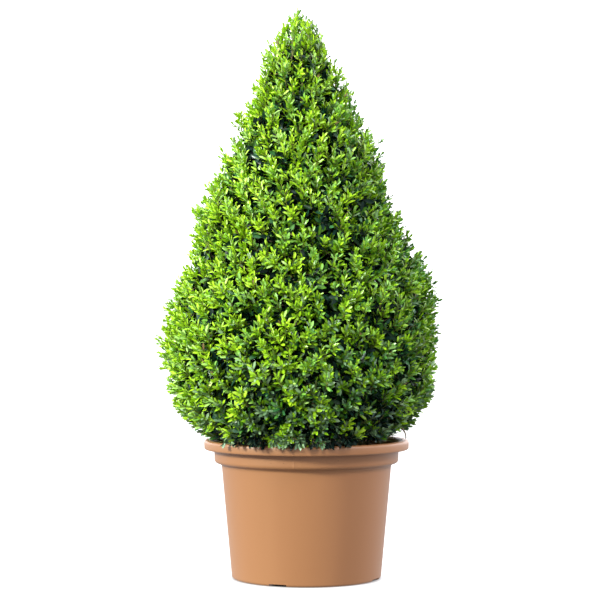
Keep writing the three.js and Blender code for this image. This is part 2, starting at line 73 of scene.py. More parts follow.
# Studio: a white floor that glows and is lit, in a white room, with broad soft light from above and
# behind, a strong lamp low at the left and a weak one at the right. Under the pot the floor doesn't glow,
# as a painted contact shadow.
FLOOR_SIZE = 600
FLOOR_GLOW = 0.72
FLOOR_SHADE = 0.25
FLOOR_ROUGHNESS = 0.6
# Painted contact shadow: the floor's glow rises over these distances from the axis, none under the pot's
# foot
GLOW_FROM = (0.128, 0.146)  # the floor is lit from the pot's foot outwards
LAMPS = [
    # name, turn from the front towards the right, rise, spread, strength, colour
    ("key", math.radians(-57), math.radians(24), math.radians(12), 4.5, (0.95, 1.0, 0.90)),
    ("fill", math.radians(48), math.radians(42), math.radians(14), 1.15, (1.0, 0.91, 0.94)),
]
ROOM_STRENGTH = 1.4
WALLS = 0.72  # the walls' and the ground's brightness, as shares of the ceiling's
BELOW = 0.2
WALL_FOOT = -0.022  # sines of the angles between which the walls reach
WALL_HEAD = 0.16
BACK_WALL = 2.4  # times as bright as the other walls
BACK_WALL_REACH = (-0.3, 0.8)
TINT = (0.95, 0.955, 1.0)


def add_object(name, mesh):
    made = bpy.data.objects.new(name, mesh)
    bpy.context.scene.collection.objects.link(made)
    return made


def new_material(name, roughness):
    """A material with one Principled shader: returns it with its node tree and shader."""
    material = bpy.data.materials.new(name)
    material.use_nodes = True
    shader = material.node_tree.nodes["Principled BSDF"]
    shader.inputs["Roughness"].default_value = roughness
    return material, material.node_tree, shader


def add_node(tree, kind, *values):
    """A node of a kind: values are (input, constant) pairs that are set on it."""
    made = tree.nodes.new(kind)
    for socket, value in values:
        made.inputs[socket].default_value = value
    return made


def wire(tree, *joins):
    """Joins nodes of a tree: each join is a node and its output, then a node and its input."""
    for source, output, target, socket in joins:
        tree.links.new(source.outputs[output], target.inputs[socket])


def ramp_node(tree, source, stops):
    """A colour ramp over a value: stops are (position, colour)."""
    made = tree.nodes.new("ShaderNodeValToRGB")
    points = made.color_ramp.elements
    while len(points) < len(stops):
        points.new(0.5)
    for point, (position, colour) in zip(points, stops):
        point.position = position
        point.color = (*colour, 1)
    tree.links.new(source, made.inputs["Fac"])
    return made.outputs["Color"]


floor_mesh = bpy.data.meshes.new("floor")
half = FLOOR_SIZE / 2
floor_corners = [(-half, -half, 0), (half, -half, 0), (half, half, 0), (-half, half, 0)]
floor_mesh.from_pydata(floor_corners, [], [(0, 1, 2, 3)])
floor = add_object("floor", floor_mesh)
floor_material, tree, shader = new_material("studio_floor", FLOOR_ROUGHNESS)
shader.inputs["Base Color"].default_value = (FLOOR_SHADE, FLOOR_SHADE, FLOOR_SHADE, 1)
shader.inputs["Emission Color"].default_value = (1, 1, 1, 1)
spot = tree.nodes.new("ShaderNodeTexCoord")
distance = tree.nodes.new("ShaderNodeVectorMath")
distance.operation = "LENGTH"
glow = add_node(
    tree,
    "ShaderNodeMapRange",
    ("From Min", GLOW_FROM[0]),
    ("From Max", GLOW_FROM[1]),
    ("To Max", FLOOR_GLOW),
)
wire(
    tree,
    (spot, "Object", distance, 0),
    (distance, "Value", glow, "Value"),
    (glow, "Result", shader, "Emission Strength"),
)
floor_mesh.materials.append(floor_material)
floor.visible_diffuse = False
floor.visible_glossy = False

room = bpy.data.worlds.new("room")
room.use_nodes = True
tree = room.node_tree
background = tree.nodes["Background"]
view = tree.nodes.new("ShaderNodeTexCoord")
axes = tree.nodes.new("ShaderNodeSeparateXYZ")
axis_up = add_node(tree, "ShaderNodeMapRange", ("From Min", -1))
walls = ramp_node(tree, axis_up.outputs["Result"], [
    ((1 + WALL_FOOT) / 2 - 0.004, [BELOW * t for t in TINT]),
    ((1 + WALL_FOOT) / 2, [WALLS * t for t in TINT]),
    ((1 + WALL_HEAD) / 2, [WALLS * t for t in TINT]),
    ((1 + WALL_HEAD) / 2 + 0.05, TINT),
])
axis_back = add_node(
    tree,
    "ShaderNodeMapRange",
    ("From Min", BACK_WALL_REACH[0]),
    ("From Max", BACK_WALL_REACH[1]),
    ("To Min", ROOM_STRENGTH),
    ("To Max", ROOM_STRENGTH * BACK_WALL),
)
wire(
    tree,
    (view, "Generated", axes, "Vector"),
    (axes, "Z", axis_up, "Value"),
    (axes, "Y", axis_back, "Value"),
    (axis_back, "Result", background, "Strength"),
)
tree.links.new(walls, background.inputs["Color"])
bpy.context.scene.world = room
bpy.context.scene.view_settings.view_transform = "Standard"

for name, turn, rise, spread, strength, colour in LAMPS:
    lamp_data = bpy.data.lights.new(name, "SUN")
    lamp_data.energy = strength
    lamp_data.angle = spread
    lamp_data.color = colour
    lamp = bpy.data.objects.new(name, lamp_data)
    towards = Vector((math.sin(turn) * math.cos(rise), -math.cos(turn) * math.cos(rise), math.sin(rise)))
    lamp.rotation_euler = towards.to_track_quat("Z", "Y").to_euler()
    bpy.context.scene.collection.objects.link(lamp)

# Pot: a round nursery pot of terracotta-coloured plastic, moulded in one piece with a rolled rim over
# a stepped band. Its foot has four notches for water to run out, and a fine parting line crosses the
# rim where the two halves of the mould met.
POT_FOOT_RADIUS = 0.138
POT_WALL = 0.0026
POT_FLOOR = 0.003
FOOT_RING = 0.012
FOOT_RECESS = 0.0012
BAND_RADIUS = 0.171
BAND_FOOT = 0.212
BAND_HEAD = 0.240
WALL_HEAD_RADIUS = 0.1575
RIM_WIDTH = 0.013
POT_SEGMENTS = 160
DRAIN_TURNS = [math.radians(-112.5 + 90 * i) for i in range(4)]
DRAIN_WIDTH = 0.034
DRAIN_HEIGHT = 0.0045
DRAIN_DEPTH = 0.024
DRAIN_SPARE = 0.003
PARTING_TURN = math.radians(-97.5)
PARTING_HALF_WIDTH = math.radians(0.1)
PARTING_EDGES = (-0.3, -0.05, 0.05, 0.3)  # degrees from its middle
PARTING_PROUD = 0.00035
PLASTIC_ROUGHNESS = 0.46
PLASTIC_COLOURS = [(0.3, (0.354, 0.154, 0.058)), (0.7, (0.386, 0.171, 0.066))]

pot_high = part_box("pot")[1]
pot_rim = pot_high.x
pot_top = pot_high.z


def unit(v):
    return v / np.linalg.norm(v, axis=-1, keepdims=True)


def bent(start, elbow, end, steps):
    """Points along a curve that leaves start towards the elbow and arrives at end from it."""
    t = np.linspace(0, 1, steps + 1)[:, None]
    return start * (1 - t) ** 2 + elbow * 2 * t * (1 - t) + end * t**2


def rounded(corners, steps=4):
    """An outline through (radius, height, rounding) corners, each rounded off by an arc-like curve."""
    points = []
    for i, (r, z, rounding) in enumerate(corners):
        here = np.array([r, z])
        if rounding == 0:
            points.append(here)
            continue
        before = np.array(corners[i - 1][:2]) - here
        after = np.array(corners[i + 1][:2]) - here
        reach = min(rounding, np.linalg.norm(before) / 2, np.linalg.norm(after) / 2)
        points.extend(bent(here + unit(before) * reach, here, here + unit(after) * reach, steps))
    return points


def lathe(name, outline, turns, shift=None):
    """A closed solid of revolution: the outline starts and ends on the axis."""
    inner = outline[1:-1]
    rows, count = len(inner), len(turns)
    verts = [(0, 0, outline[0][1])]
    for row, (r, z) in enumerate(inner):
        for turn in turns:
            radius = r + (shift(r, z, turn) if shift else 0)
            verts.append((radius * math.cos(turn), radius * math.sin(turn), z))
    verts.append((0, 0, outline[-1][1]))
    last = len(verts) - 1
    faces = []
    for j in range(count):
        k = (j + 1) % count
        faces.append((0, 1 + k, 1 + j))
        for row in range(rows - 1):
            a, b = 1 + row * count + j, 1 + row * count + k
            faces.append((a, b, b + count, a + count))
        top = 1 + (rows - 1) * count
        faces.append((last, top + j, top + k))
    mesh = bpy.data.meshes.new(name)
    mesh.from_pydata(verts, [], faces)
    mesh.update()
    return mesh


def smooth_by_angle(mesh, degrees):
    """Smooth shading with the edges over an angle kept sharp."""
    work = bmesh.new()
    work.from_mesh(mesh)
    for face in work.faces:
        face.smooth = True
    for edge in work.edges:
        edge.smooth = len(edge.link_faces) != 2 or edge.calc_face_angle(0) < math.radians(degrees)
    work.to_mesh(mesh)
    work.free()


pot_outline = rounded([
    (0, FOOT_RECESS, 0),
    (POT_FOOT_RADIUS - 0.005 - FOOT_RING, FOOT_RECESS, 0.001),
    (POT_FOOT_RADIUS - 0.004 - FOOT_RING, 0, 0.0008),
    (POT_FOOT_RADIUS, 0, 0.005),
    (WALL_HEAD_RADIUS, BAND_FOOT - 0.001, 0.006),
    (BAND_RADIUS - 0.0005, BAND_FOOT + 0.002, 0.006),
    (BAND_RADIUS, BAND_HEAD, 0.002),
    (pot_rim - 0.0006, BAND_HEAD - 0.002, 0.0035),
    (pot_rim, pot_top - 0.0005, 0.0055),
    (pot_rim - RIM_WIDTH, pot_top, 0.005),
    (BAND_RADIUS - POT_WALL, BAND_HEAD, 0.004),
    (BAND_RADIUS - POT_WALL, BAND_FOOT + 0.003, 0.003),
    (WALL_HEAD_RADIUS - POT_WALL, BAND_FOOT - 0.002, 0.002),
    (POT_FOOT_RADIUS - POT_WALL, POT_FLOOR, 0.005),
    (0, POT_FLOOR, 0),
])


def parting_ridge(r, z, turn):
    """The parting line stands a little proud on the outside of the rim and the band."""
    is_outside = z > BAND_FOOT and r > BAND_RADIUS - 0.001
    return PARTING_PROUD if is_outside and abs(turn - PARTING_TURN) < PARTING_HALF_WIDTH else 0


pot_turns = [2 * math.pi * i / POT_SEGMENTS - math.pi for i in range(POT_SEGMENTS)]
pot_turns += [PARTING_TURN + math.radians(step) for step in PARTING_EDGES]
pot_turns = sorted(pot_turns)
pot = add_object("nursery_pot", lathe("nursery_pot", pot_outline, pot_turns, parting_ridge))

for turn in DRAIN_TURNS:
    cutter_mesh = bpy.data.meshes.new("drain_cutter")
    work = bmesh.new()
    bmesh.ops.create_cube(work, size=1)
    for vert in work.verts:
        along = POT_FOOT_RADIUS - DRAIN_DEPTH / 2 + DRAIN_SPARE
        along += vert.co.x * (DRAIN_DEPTH + 2 * DRAIN_SPARE)
        across = vert.co.y * DRAIN_WIDTH
        vert.co = (
            along * math.cos(turn) - across * math.sin(turn),
            along * math.sin(turn) + across * math.cos(turn),
            vert.co.z * 2 * DRAIN_HEIGHT,
        )
    work.to_mesh(cutter_mesh)
    work.free()
    cutter = add_object("drain_cutter", cutter_mesh)
    cut = pot.modifiers.new("drain", "BOOLEAN")
    cut.object = cutter
    cut.operation = "DIFFERENCE"
    cut.solver = "EXACT"
cut_mesh = bpy.data.meshes.new_from_object(pot.evaluated_get(bpy.context.evaluated_depsgraph_get()))
pot.modifiers.clear()
pot.data = cut_mesh
for cutter in [o for o in bpy.data.objects if o.name.startswith("drain_cutter")]:
    bpy.data.objects.remove(cutter)
smooth_by_angle(pot.data, 32)

def noise_node(tree, scale, stretch=(1, 1, 1), detail=3.0):
    """Noise over the object's own coordinates, squeezed along an axis by stretch."""
    spot = tree.nodes.new("ShaderNodeTexCoord")
    mapping = add_node(tree, "ShaderNodeMapping", ("Scale", stretch))
    made = add_node(tree, "ShaderNodeTexNoise", ("Scale", scale), ("Detail", detail))
    wire(tree, (spot, "Object", mapping, "Vector"), (mapping, "Vector", made, "Vector"))
    return made.outputs["Fac"]


def mottle(tree, shader, scale, stops, stretch=(1, 1, 1), detail=3.0):
    """Colours a shader by noise, through a ramp of (position, colour) stops."""
    colour = ramp_node(tree, noise_node(tree, scale, stretch, detail), stops)
    tree.links.new(colour, shader.inputs["Base Color"])


def bump_node(tree, shader, heights):
    """Chains bumps: heights are (value, strength, distance in metres)."""
    before = None
    for value, strength, distance in heights:
        made = add_node(tree, "ShaderNodeBump", ("Strength", strength), ("Distance", distance))
        tree.links.new(value, made.inputs["Height"])
        if before:
            tree.links.new(before, made.inputs["Normal"])
        before = made.outputs["Normal"]
    tree.links.new(before, shader.inputs["Normal"])


pot_plastic, tree, shader = new_material("terracotta_plastic", PLASTIC_ROUGHNESS)
shader.inputs["Specular IOR Level"].default_value = 0.6
shader.inputs["Coat Weight"].default_value = 0.5
shader.inputs["Coat Roughness"].default_value = 0.4
mottle(tree, shader, 9.0, PLASTIC_COLOURS, stretch=(1, 1, 0.12), detail=2.0)
bump_node(tree, shader, [
    (noise_node(tree, 7.0, stretch=(1, 1, 0.2)), 0.25, 0.0015),
    (noise_node(tree, 900.0), 0.12, 0.0002),
])
pot.data.materials.clear()
pot.data.materials.append(pot_plastic)
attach(pot, "root")
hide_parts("pot")

# Compost: moist dark bark-based compost that fills the pot to just under the rim, a little higher
# in the middle than at the wall, with loose chips of bark on top.
COMPOST_RINGS = 34
COMPOST_TURNS = 120
COMPOST_GRAIN = 0.0016
LUMPS = ((55, 1.0), (170, 0.7))  # scale and share of the coarse and the fine lumps
LUMP_LEVEL = 0.9
COMPOST_FALL = 0.004
COMPOST_FLAT = 0.05
compost_low, compost_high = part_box("compost")
compost_radius = compost_high.x


def compost_height(radius):
    share = max(0.0, (radius - COMPOST_FLAT) / (compost_radius - COMPOST_FLAT))
    return compost_high.z - COMPOST_FALL * share**1.5


compost_outline = [
    (0, compost_low.z),
    (POT_FOOT_RADIUS - 0.006, compost_low.z),
    (POT_FOOT_RADIUS - POT_WALL - 0.0002, compost_low.z + 0.006),
    (WALL_HEAD_RADIUS - POT_WALL - 0.0006, BAND_FOOT - 0.003),
    (compost_radius, BAND_FOOT + 0.006),
]
for i in range(COMPOST_RINGS + 1):
    radius = compost_radius * (1 - i / COMPOST_RINGS)
    compost_outline.append((radius, compost_height(radius)))
compost_turns = [2 * math.pi * i / COMPOST_TURNS for i in range(COMPOST_TURNS)]
compost = add_object("compost_surface", lathe("compost_surface", compost_outline, compost_turns))
for vert in compost.data.vertices:
    if vert.co.z > compost_high.z - COMPOST_FALL - 0.0001:
        lump = sum(share * noise.noise(vert.co * scale) for scale, share in LUMPS)
        vert.co.z += COMPOST_GRAIN * (lump - LUMP_LEVEL)
smooth_by_angle(compost.data, 60)

peat, tree, shader = new_material("moist_compost", 0.85)
mottle(tree, shader, 160.0, [
    (0.3, (0.008, 0.005, 0.003)),
    (0.55, (0.026, 0.014, 0.008)),
    (0.75, (0.060, 0.033, 0.017)),
])
bump_node(tree, shader, [(noise_node(tree, 420.0), 0.8, 0.0012)])
compost.data.materials.append(peat)
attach(compost, "root")
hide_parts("compost")

# Bark chips: flat broken splinters of composted bark, each an uneven six-sided flake. They lie loose on
# the compost, turned and tilted at random and of many sizes.
CHIP_LENGTH = 0.0075
CHIP_DENSITY = 14000
CHIP_TILT = 0.5
CHIP_SMALLEST = 0.35
CHIP_GROUND = 0.008  # thickness of the compost's top layer that carries chips


def new_tree(name, inputs):
    """A geometry node tree with named inputs: returns it, its input node and its output socket."""
    tree = bpy.data.node_groups.new(name, "GeometryNodeTree")
    tree.interface.new_socket("Geometry", in_out="INPUT", socket_type="NodeSocketGeometry")
    for label, kind in inputs:
        tree.interface.new_socket(label, in_out="INPUT", socket_type=kind)
    tree.interface.new_socket("Geometry", in_out="OUTPUT", socket_type="NodeSocketGeometry")
    return tree, tree.nodes.new("NodeGroupInput")


def close_tree(tree, source, output, inputs):
    """Ends a tree: instances made real, faces smooth, and the material that its inputs name."""
    realize = tree.nodes.new("GeometryNodeRealizeInstances")
    smooth = tree.nodes.new("GeometryNodeSetShadeSmooth")
    paint = tree.nodes.new("GeometryNodeSetMaterial")
    result = tree.nodes.new("NodeGroupOutput")
    wire(
        tree,
        (source, output, realize, "Geometry"),
        (realize, "Geometry", smooth, "Geometry"),
        (smooth, "Geometry", paint, "Geometry"),
        (inputs, "Material", paint, "Material"),
        (paint, "Geometry", result, "Geometry"),
    )


def grow(name, mesh, tree, values):
    """Runs a tree on a mesh and returns the result as a plain object."""
    source = add_object("source_" + name, mesh)
    modifier = source.modifiers.new("grow", "NODES")
    modifier.node_group = tree
    for socket in tree.interface.items_tree:
        if socket.in_out == "INPUT" and socket.name in values:
            modifier[socket.identifier] = values[socket.name]
    depsgraph = bpy.context.evaluated_depsgraph_get()
    made = add_object(name, bpy.data.meshes.new_from_object(source.evaluated_get(depsgraph)))
    made.data.name = name
    bpy.data.objects.remove(source)
    return made


chip_mesh = bpy.data.meshes.new("chip")
chip_mesh.from_pydata(
    [(-1, 0, 0), (-0.4, -0.34, 0.05), (0.6, -0.26, 0), (1, 0.05, 0), (0.35, 0.3, 0.06), (-0.5, 0.3, 0),
     (0.1, 0, 0.24), (0, 0, -0.16)],
    [],
    [(i, (i + 1) % 6, 6) for i in range(6)] + [((i + 1) % 6, i, 7) for i in range(6)],
)
chip = add_object("chip", chip_mesh)

chip_tree, chip_inputs = new_tree("scatter_chips", [
    ("Chip", "NodeSocketObject"),
    ("Density", "NodeSocketFloat"),
    ("Length", "NodeSocketFloat"),
    ("Material", "NodeSocketMaterial"),
])
scatter = add_node(chip_tree, "GeometryNodeDistributePointsOnFaces", ("Seed", 5))
shape = chip_tree.nodes.new("GeometryNodeObjectInfo")
turn_value = chip_tree.nodes.new("FunctionNodeRandomValue")
turn_value.data_type = "FLOAT_VECTOR"
turn_value.inputs["Min"].default_value = (-CHIP_TILT, -CHIP_TILT, 0)
turn_value.inputs["Max"].default_value = (CHIP_TILT, CHIP_TILT, 6.283)
size_value = add_node(chip_tree, "FunctionNodeRandomValue", (2, CHIP_SMALLEST), (3, 1.0))
size_times = chip_tree.nodes.new("ShaderNodeMath")
size_times.operation = "MULTIPLY"
put = chip_tree.nodes.new("GeometryNodeInstanceOnPoints")
wire(
    chip_tree,
    (chip_inputs, "Geometry", scatter, "Mesh"),
    (chip_inputs, "Density", scatter, "Density"),
    (chip_inputs, "Chip", shape, "Object"),
    (size_value, 1, size_times, 0),
    (chip_inputs, "Length", size_times, 1),
    (scatter, "Points", put, "Points"),
    (shape, "Geometry", put, "Instance"),
    (turn_value, "Value", put, "Rotation"),
    (size_times, 0, put, "Scale"),
)
close_tree(chip_tree, put, "Instances", chip_inputs)

chip_bark, tree, shader = new_material("bark_chip", 0.8)
mottle(tree, shader, 90.0, [
    (0.35, (0.020, 0.011, 0.006)),
    (0.6, (0.075, 0.040, 0.020)),
    (0.8, (0.16, 0.095, 0.05)),
])
bump_node(tree, shader, [(noise_node(tree, 700.0, stretch=(1, 0.3, 1)), 0.5, 0.0005)])

chip_floor = compost_high.z - CHIP_GROUND
compost_top = bmesh.new()
compost_top.from_mesh(compost.data)
bmesh.ops.delete(
    compost_top,
    geom=[f for f in compost_top.faces if f.calc_center_median().z < chip_floor],
    context="FACES",
)
chip_ground = bpy.data.meshes.new("chip_ground")
compost_top.to_mesh(chip_ground)
compost_top.free()
chips = grow("bark_chips", chip_ground, chip_tree, {
    "Chip": chip,
    "Density": CHIP_DENSITY,
    "Length": CHIP_LENGTH,
    "Material": chip_bark,
})
bpy.data.objects.remove(chip)
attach(chips, "root")
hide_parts("compost")

# Stem: one woody stem with a flare at the roots, pale grey-brown and finely fissured. It runs up the
# middle of the crown and leans a little to the left with it.
CROWN_FOOT = 0.258
CROWN_TOP = 1.047
CROWN_LEAN = -0.016
STEM_RADIUS = 0.013
STEM_FLARE = 0.009
STEM_FLARE_HEIGHT = 0.022
STEM_TIP_RADIUS = 0.0025
STEM_SWAY = 0.003
STEM_STRAIGHT = 0.06
STEM_SIDES = 28
STEM_RINGS = 180
STEM_RELIEF = 0.09
STEM_WAVES = (0.071, 0.053)  # length of the sway's waves in x and y over 2 pi, in metres
RELIEF_LEVEL = 0.9
stem_low, stem_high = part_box("stem")
compost_head = compost_high.z


def axis_x(z):
    """The crown's axis leans most near its foot."""
    share = np.clip((z - compost_head) / (CROWN_TOP - compost_head), 0, 1)
    return CROWN_LEAN * np.sqrt(share)


def stem_centre(z):
    sway = STEM_SWAY * min(1, (z - compost_head) / STEM_STRAIGHT)
    x = axis_x(z) + sway * math.sin(z / STEM_WAVES[0])
    return np.array([x, sway * math.sin(z / STEM_WAVES[1] + 2), z])


def stem_radius(z):
    share = (z - compost_head) / (stem_high.z - compost_head)
    return STEM_RADIUS + (STEM_TIP_RADIUS - STEM_RADIUS) * share + STEM_FLARE * math.exp(
        -(z - compost_head) / STEM_FLARE_HEIGHT
    )


def bark_relief(turn, along):
    """Long shallow fissures that wander and join, between plates: from -1 in a fissure to 1."""
    spot = Vector((2.2 * math.cos(turn), 2.2 * math.sin(turn), along * 38))
    wander = 0.6 * noise.noise(Vector((spot.x, spot.y, along * 90)))
    ridge = 1 - 2 * abs(noise.noise(spot * 1.3 + Vector((wander, wander, 0))))
    return 0.75 * ridge**3 + 0.25 * noise.noise(Vector((spot.x * 3, spot.y * 3, along * 260)))


def bark_limb(name, centres, radii, sides, relief_share):
    """A closed round limb through centres, with the bark's relief pressed into it."""
    centres = np.array(centres)
    directions = unit(np.gradient(centres, axis=0))
    across = np.cross(directions[0], [0.0, 1.0, 0.3])
    lengths = np.r_[0, np.cumsum(np.linalg.norm(np.diff(centres, axis=0), axis=1))]
    verts = []
    for centre, direction, radius, length in zip(centres, directions, radii, lengths):
        across = unit(across - direction * across.dot(direction))
        beside = np.cross(direction, across)
        for j in range(sides):
            turn = 2 * math.pi * j / sides
            depth = radius * relief_share * (bark_relief(turn, length) - RELIEF_LEVEL)
            verts.append(centre + (across * math.cos(turn) + beside * math.sin(turn)) * (radius + depth))
    last = (len(centres) - 1) * sides
    faces = [
        (start + j, start + (j + 1) % sides, start + sides + (j + 1) % sides, start + sides + j)
        for start in range(0, last, sides)
        for j in range(sides)
    ]
    faces += [tuple(reversed(range(sides))), tuple(range(last, last + sides))]
    mesh = bpy.data.meshes.new(name)
    mesh.from_pydata([tuple(v) for v in verts], [], faces)
    smooth_by_angle(mesh, 55)
    return add_object(name, mesh)


bark, tree, shader = new_material("boxwood_bark", 0.82)
mottle(tree, shader, 60.0, [
    (0.3, (0.085, 0.060, 0.034)),
    (0.55, (0.215, 0.160, 0.094)),
    (0.75, (0.36, 0.29, 0.185)),
], stretch=(1, 1, 0.3), detail=5.0)
bump_node(tree, shader, [(noise_node(tree, 240.0, stretch=(1, 1, 0.25)), 0.7, 0.0006)])

stem_heights = stem_low.z + (stem_high.z - stem_low.z) * np.linspace(0, 1, STEM_RINGS) ** 1.4
stem = bark_limb(
    "stem_bark",
    [stem_centre(z) for z in stem_heights],
    [stem_radius(z) for z in stem_heights],
    STEM_SIDES,
    STEM_RELIEF,
)
stem.data.materials.append(bark)
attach(stem, "root")
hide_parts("stem")

# Boughs: woody limbs that leave the stem in three tiers, rise outwards and bend into line with the
# mass of twigs that each carries. Each tapers from its foot to its tip.
CROWN_RADIUS = 0.262
SHOOT_REACH = 0.032
PAD_DEPTH = 0.054
FOOT_INSET = 0.014
STUB = 0.018
BOUGH_TAPER = 0.55
BOUGH_FOOT = 0.256
BOUGH_STAGGER = 0.016
STAGGER_STEP = 0.618
BOUGH_RISE = 0.85
BOUGH_BEND = 0.45
BOUGH_RINGS = 40
BOUGH_SIDES = 14
BOUGH_RELIEF = 0.1
TIER_TWIST = 0.5
TIERS = [
    {"name": "lower", "head": 0.25, "sectors": 5, "bough_radius": 0.008},
    {"name": "middle", "head": 0.5, "sectors": 5, "bough_radius": 0.006},
    {"name": "upper", "head": 0.745, "sectors": 4, "bough_radius": 0.0045},
    {"name": "tip", "head": 1.0, "sectors": 1, "bough_radius": 0.0},
]
# The clipped outline: share of the crown's height, share of its greatest radius
CROWN_OUTLINE = [
    (0, 0.66), (0.045, 0.82), (0.11, 0.94), (0.2, 0.99), (0.32, 0.94), (0.47, 0.78),
    (0.62, 0.6), (0.77, 0.395), (0.9, 0.235), (0.97, 0.115), (1, 0),
]
# Shoots grow more upright higher up: share of the crown's height, degrees above the horizontal
SHOOT_RISE = [(0, -18), (0.06, 0), (0.25, 28), (0.5, 40), (0.8, 46), (0.94, 60), (0.955, 90)]


def smoothed(rows, steps=20):
    """A smooth curve through points, with the slope at each taken from its two neighbours."""
    rows = np.array(rows, float)
    ends = np.vstack([rows[0], rows, rows[-1]])
    curve = []
    for p0, p1, p2, p3 in zip(ends, ends[1:], ends[2:], ends[3:]):
        slope_in, slope_out = (p2 - p0) / 2, (p3 - p1) / 2
        for t in np.linspace(0, 1, steps, endpoint=False):
            cubic = (2 * p1 - 2 * p2 + slope_in + slope_out) * t**3
            square = (-3 * p1 + 3 * p2 - 2 * slope_in - slope_out) * t**2
            curve.append(cubic + square + slope_in * t + p1)
    return np.array(curve + [rows[-1]])


clipped = smoothed(CROWN_OUTLINE)
rise_rows = np.array(SHOOT_RISE, float)
crown_height = CROWN_TOP - CROWN_FOOT


def outline_radius(z):
    return np.interp((z - CROWN_FOOT) / crown_height, clipped[:, 0], clipped[:, 1]) * CROWN_RADIUS


def rise_at(z):
    return np.radians(np.interp((z - CROWN_FOOT) / crown_height, rise_rows[:, 0], rise_rows[:, 1]))


def pad_radius(z):
    return np.maximum(0, outline_radius(z) - SHOOT_REACH)


def place(radius, bearing, z):
    """Points at a radius and bearing from the crown's axis: one row each."""
    radius, bearing, z = np.broadcast_arrays(radius, bearing, z)
    return np.stack([axis_x(z) + radius * np.cos(bearing), radius * np.sin(bearing), z], axis=-1)


def edge_slope(z):
    return 0.0 if z <= CROWN_FOOT + FOOT_INSET else math.tan(rise_at(z))


def make_spaces():
    """The space of each mass: its tier's foot and head, its sector, and where its own stem stands."""
    spaces = []
    for level, tier in enumerate(TIERS):
        foot = CROWN_FOOT + (crown_height * TIERS[level - 1]["head"] if level else FOOT_INSET)
        head = CROWN_FOOT + crown_height * tier["head"]
        width = 2 * math.pi / tier["sectors"]
        middle_height = (foot + head) / 2
        slope = (edge_slope(foot) + edge_slope(head)) / 2
        depth = PAD_DEPTH + STUB
        for index in range(tier["sectors"]):
            middle = -math.pi / 2 + (index + level * TIER_TWIST) * width
            label = f"{tier['name']}_{index + 1}" if tier["sectors"] > 1 else tier["name"]
            pad = pad_radius(middle_height)
            spaces.append({
                **tier,
                "index": index,
                "label": label,
                "foot": foot if level else CROWN_FOOT,
                "top": head,
                "middle": middle,
                "width": width,
                "stub_foot": place(pad - depth, middle, middle_height - slope * depth),
                "fork": place(pad - PAD_DEPTH / 2, middle, middle_height - slope * PAD_DEPTH / 2),
            })
    return spaces


spaces = make_spaces()
for space in spaces:
    if space["sectors"] == 1:
        continue
    tip = space["stub_foot"]
    fall = math.hypot(tip[0] - axis_x(tip[2]), tip[1]) * BOUGH_RISE
    stagger = BOUGH_STAGGER * ((space["index"] * STAGGER_STEP) % 1)
    bough_foot = stem_centre(max(BOUGH_FOOT, tip[2] - fall) + stagger)
    elbow = tip + unit(tip - space["fork"]) * np.linalg.norm(tip - bough_foot) * BOUGH_BEND
    centres = bent(bough_foot, elbow, tip, BOUGH_RINGS)
    radii = space["bough_radius"] * np.linspace(1, BOUGH_TAPER, BOUGH_RINGS + 1)
    bough = bark_limb(f"bough_bark_{space['label']}", centres, radii, BOUGH_SIDES, BOUGH_RELIEF)
    bough.data.materials.append(bark)
    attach(bough, "root")
    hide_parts(f"bough_{space['label']}")

# Branches and twigs: from each bough's tip a fork of woody branches, from them one branchlet to each
# spray, and in each spray a few young green shoots that end at the clipped outline. Short inner shoots
# fill the space behind them.
SPRAY_SPACING = 0.0275
SPRAY_DEPTH = 0.046
SPREAD_STEPS = (0.7548776662, 0.5698402909)  # steps that fill a square evenly
SPREAD_STRAY = 0.02
HEADING_STRAY = 0.16
TURN_UP = 0.22
FOOT_TURN_UP = 0.25
WAVE_SCALE = 26
SPRAY_UNEVEN = 0.009
FACE_STRAY = 0.002
SPRAY_SUNK = (0.003, 0.019)
SUNK_SHARE = 0.45
SUNK_SHADE = 1.5
ROOM_TO_SINK = 0.12
STRAY_SHARE = 0.08
STRAY_REACH = (0.004, 0.013)
TOP_PROUD = 0.001
FOOT_LEAVES = 0.09  # height over which what is special to the crown's foot fades out
TOP_LEAVES = 0.15  # depth over which what is special to its top fades out
SHOOT_BEND = 0.0012
SHOOT_RADII = (0.0011, 0.0007)  # of each kind of twig: its radius at the foot and at the tip
SHOOTS_A_SPRAY = 3
SIDE_SPREAD = (12, 38)  # degrees
SIDE_FOOT = (-0.1, 0.4)  # shares of the spray's depth
SIDE_LENGTH = (0.5, 0.85)
SIDE_PROUD = 0.002
SIDE_CUTS = (0.85, 5)  # the share of its length that a cut leaves, and how many cuts there can be
SIDE_BEND = 0.001
SIDE_RADII = (0.001, 0.00065)
BRANCH_CELLS = 3
BRANCH_REACH = 0.55
BRANCH_TAPER = 0.62
BRANCH_THINNEST = 0.0014
BRANCH_TIP_RADIUS = 0.0013
TIP_BRANCH_DROPS = [(0.03, 0.06), (0.02, 0.03)]  # where the tip's branches leave the stem and fork
BRANCHLET_RADII = (0.0012, 0.0008)
INNER_SHOOTS = 5
INNER_SPREAD = (40, 75)
INNER_FOOT = (-0.006, 0.03)
INNER_LENGTH = (0.024, 0.038)
INNER_DEPTH = 0.024
INNER_CUTS = (0.7, 6)
INNER_BEND = 0.002
INNER_RADII = (0.0009, 0.0006)
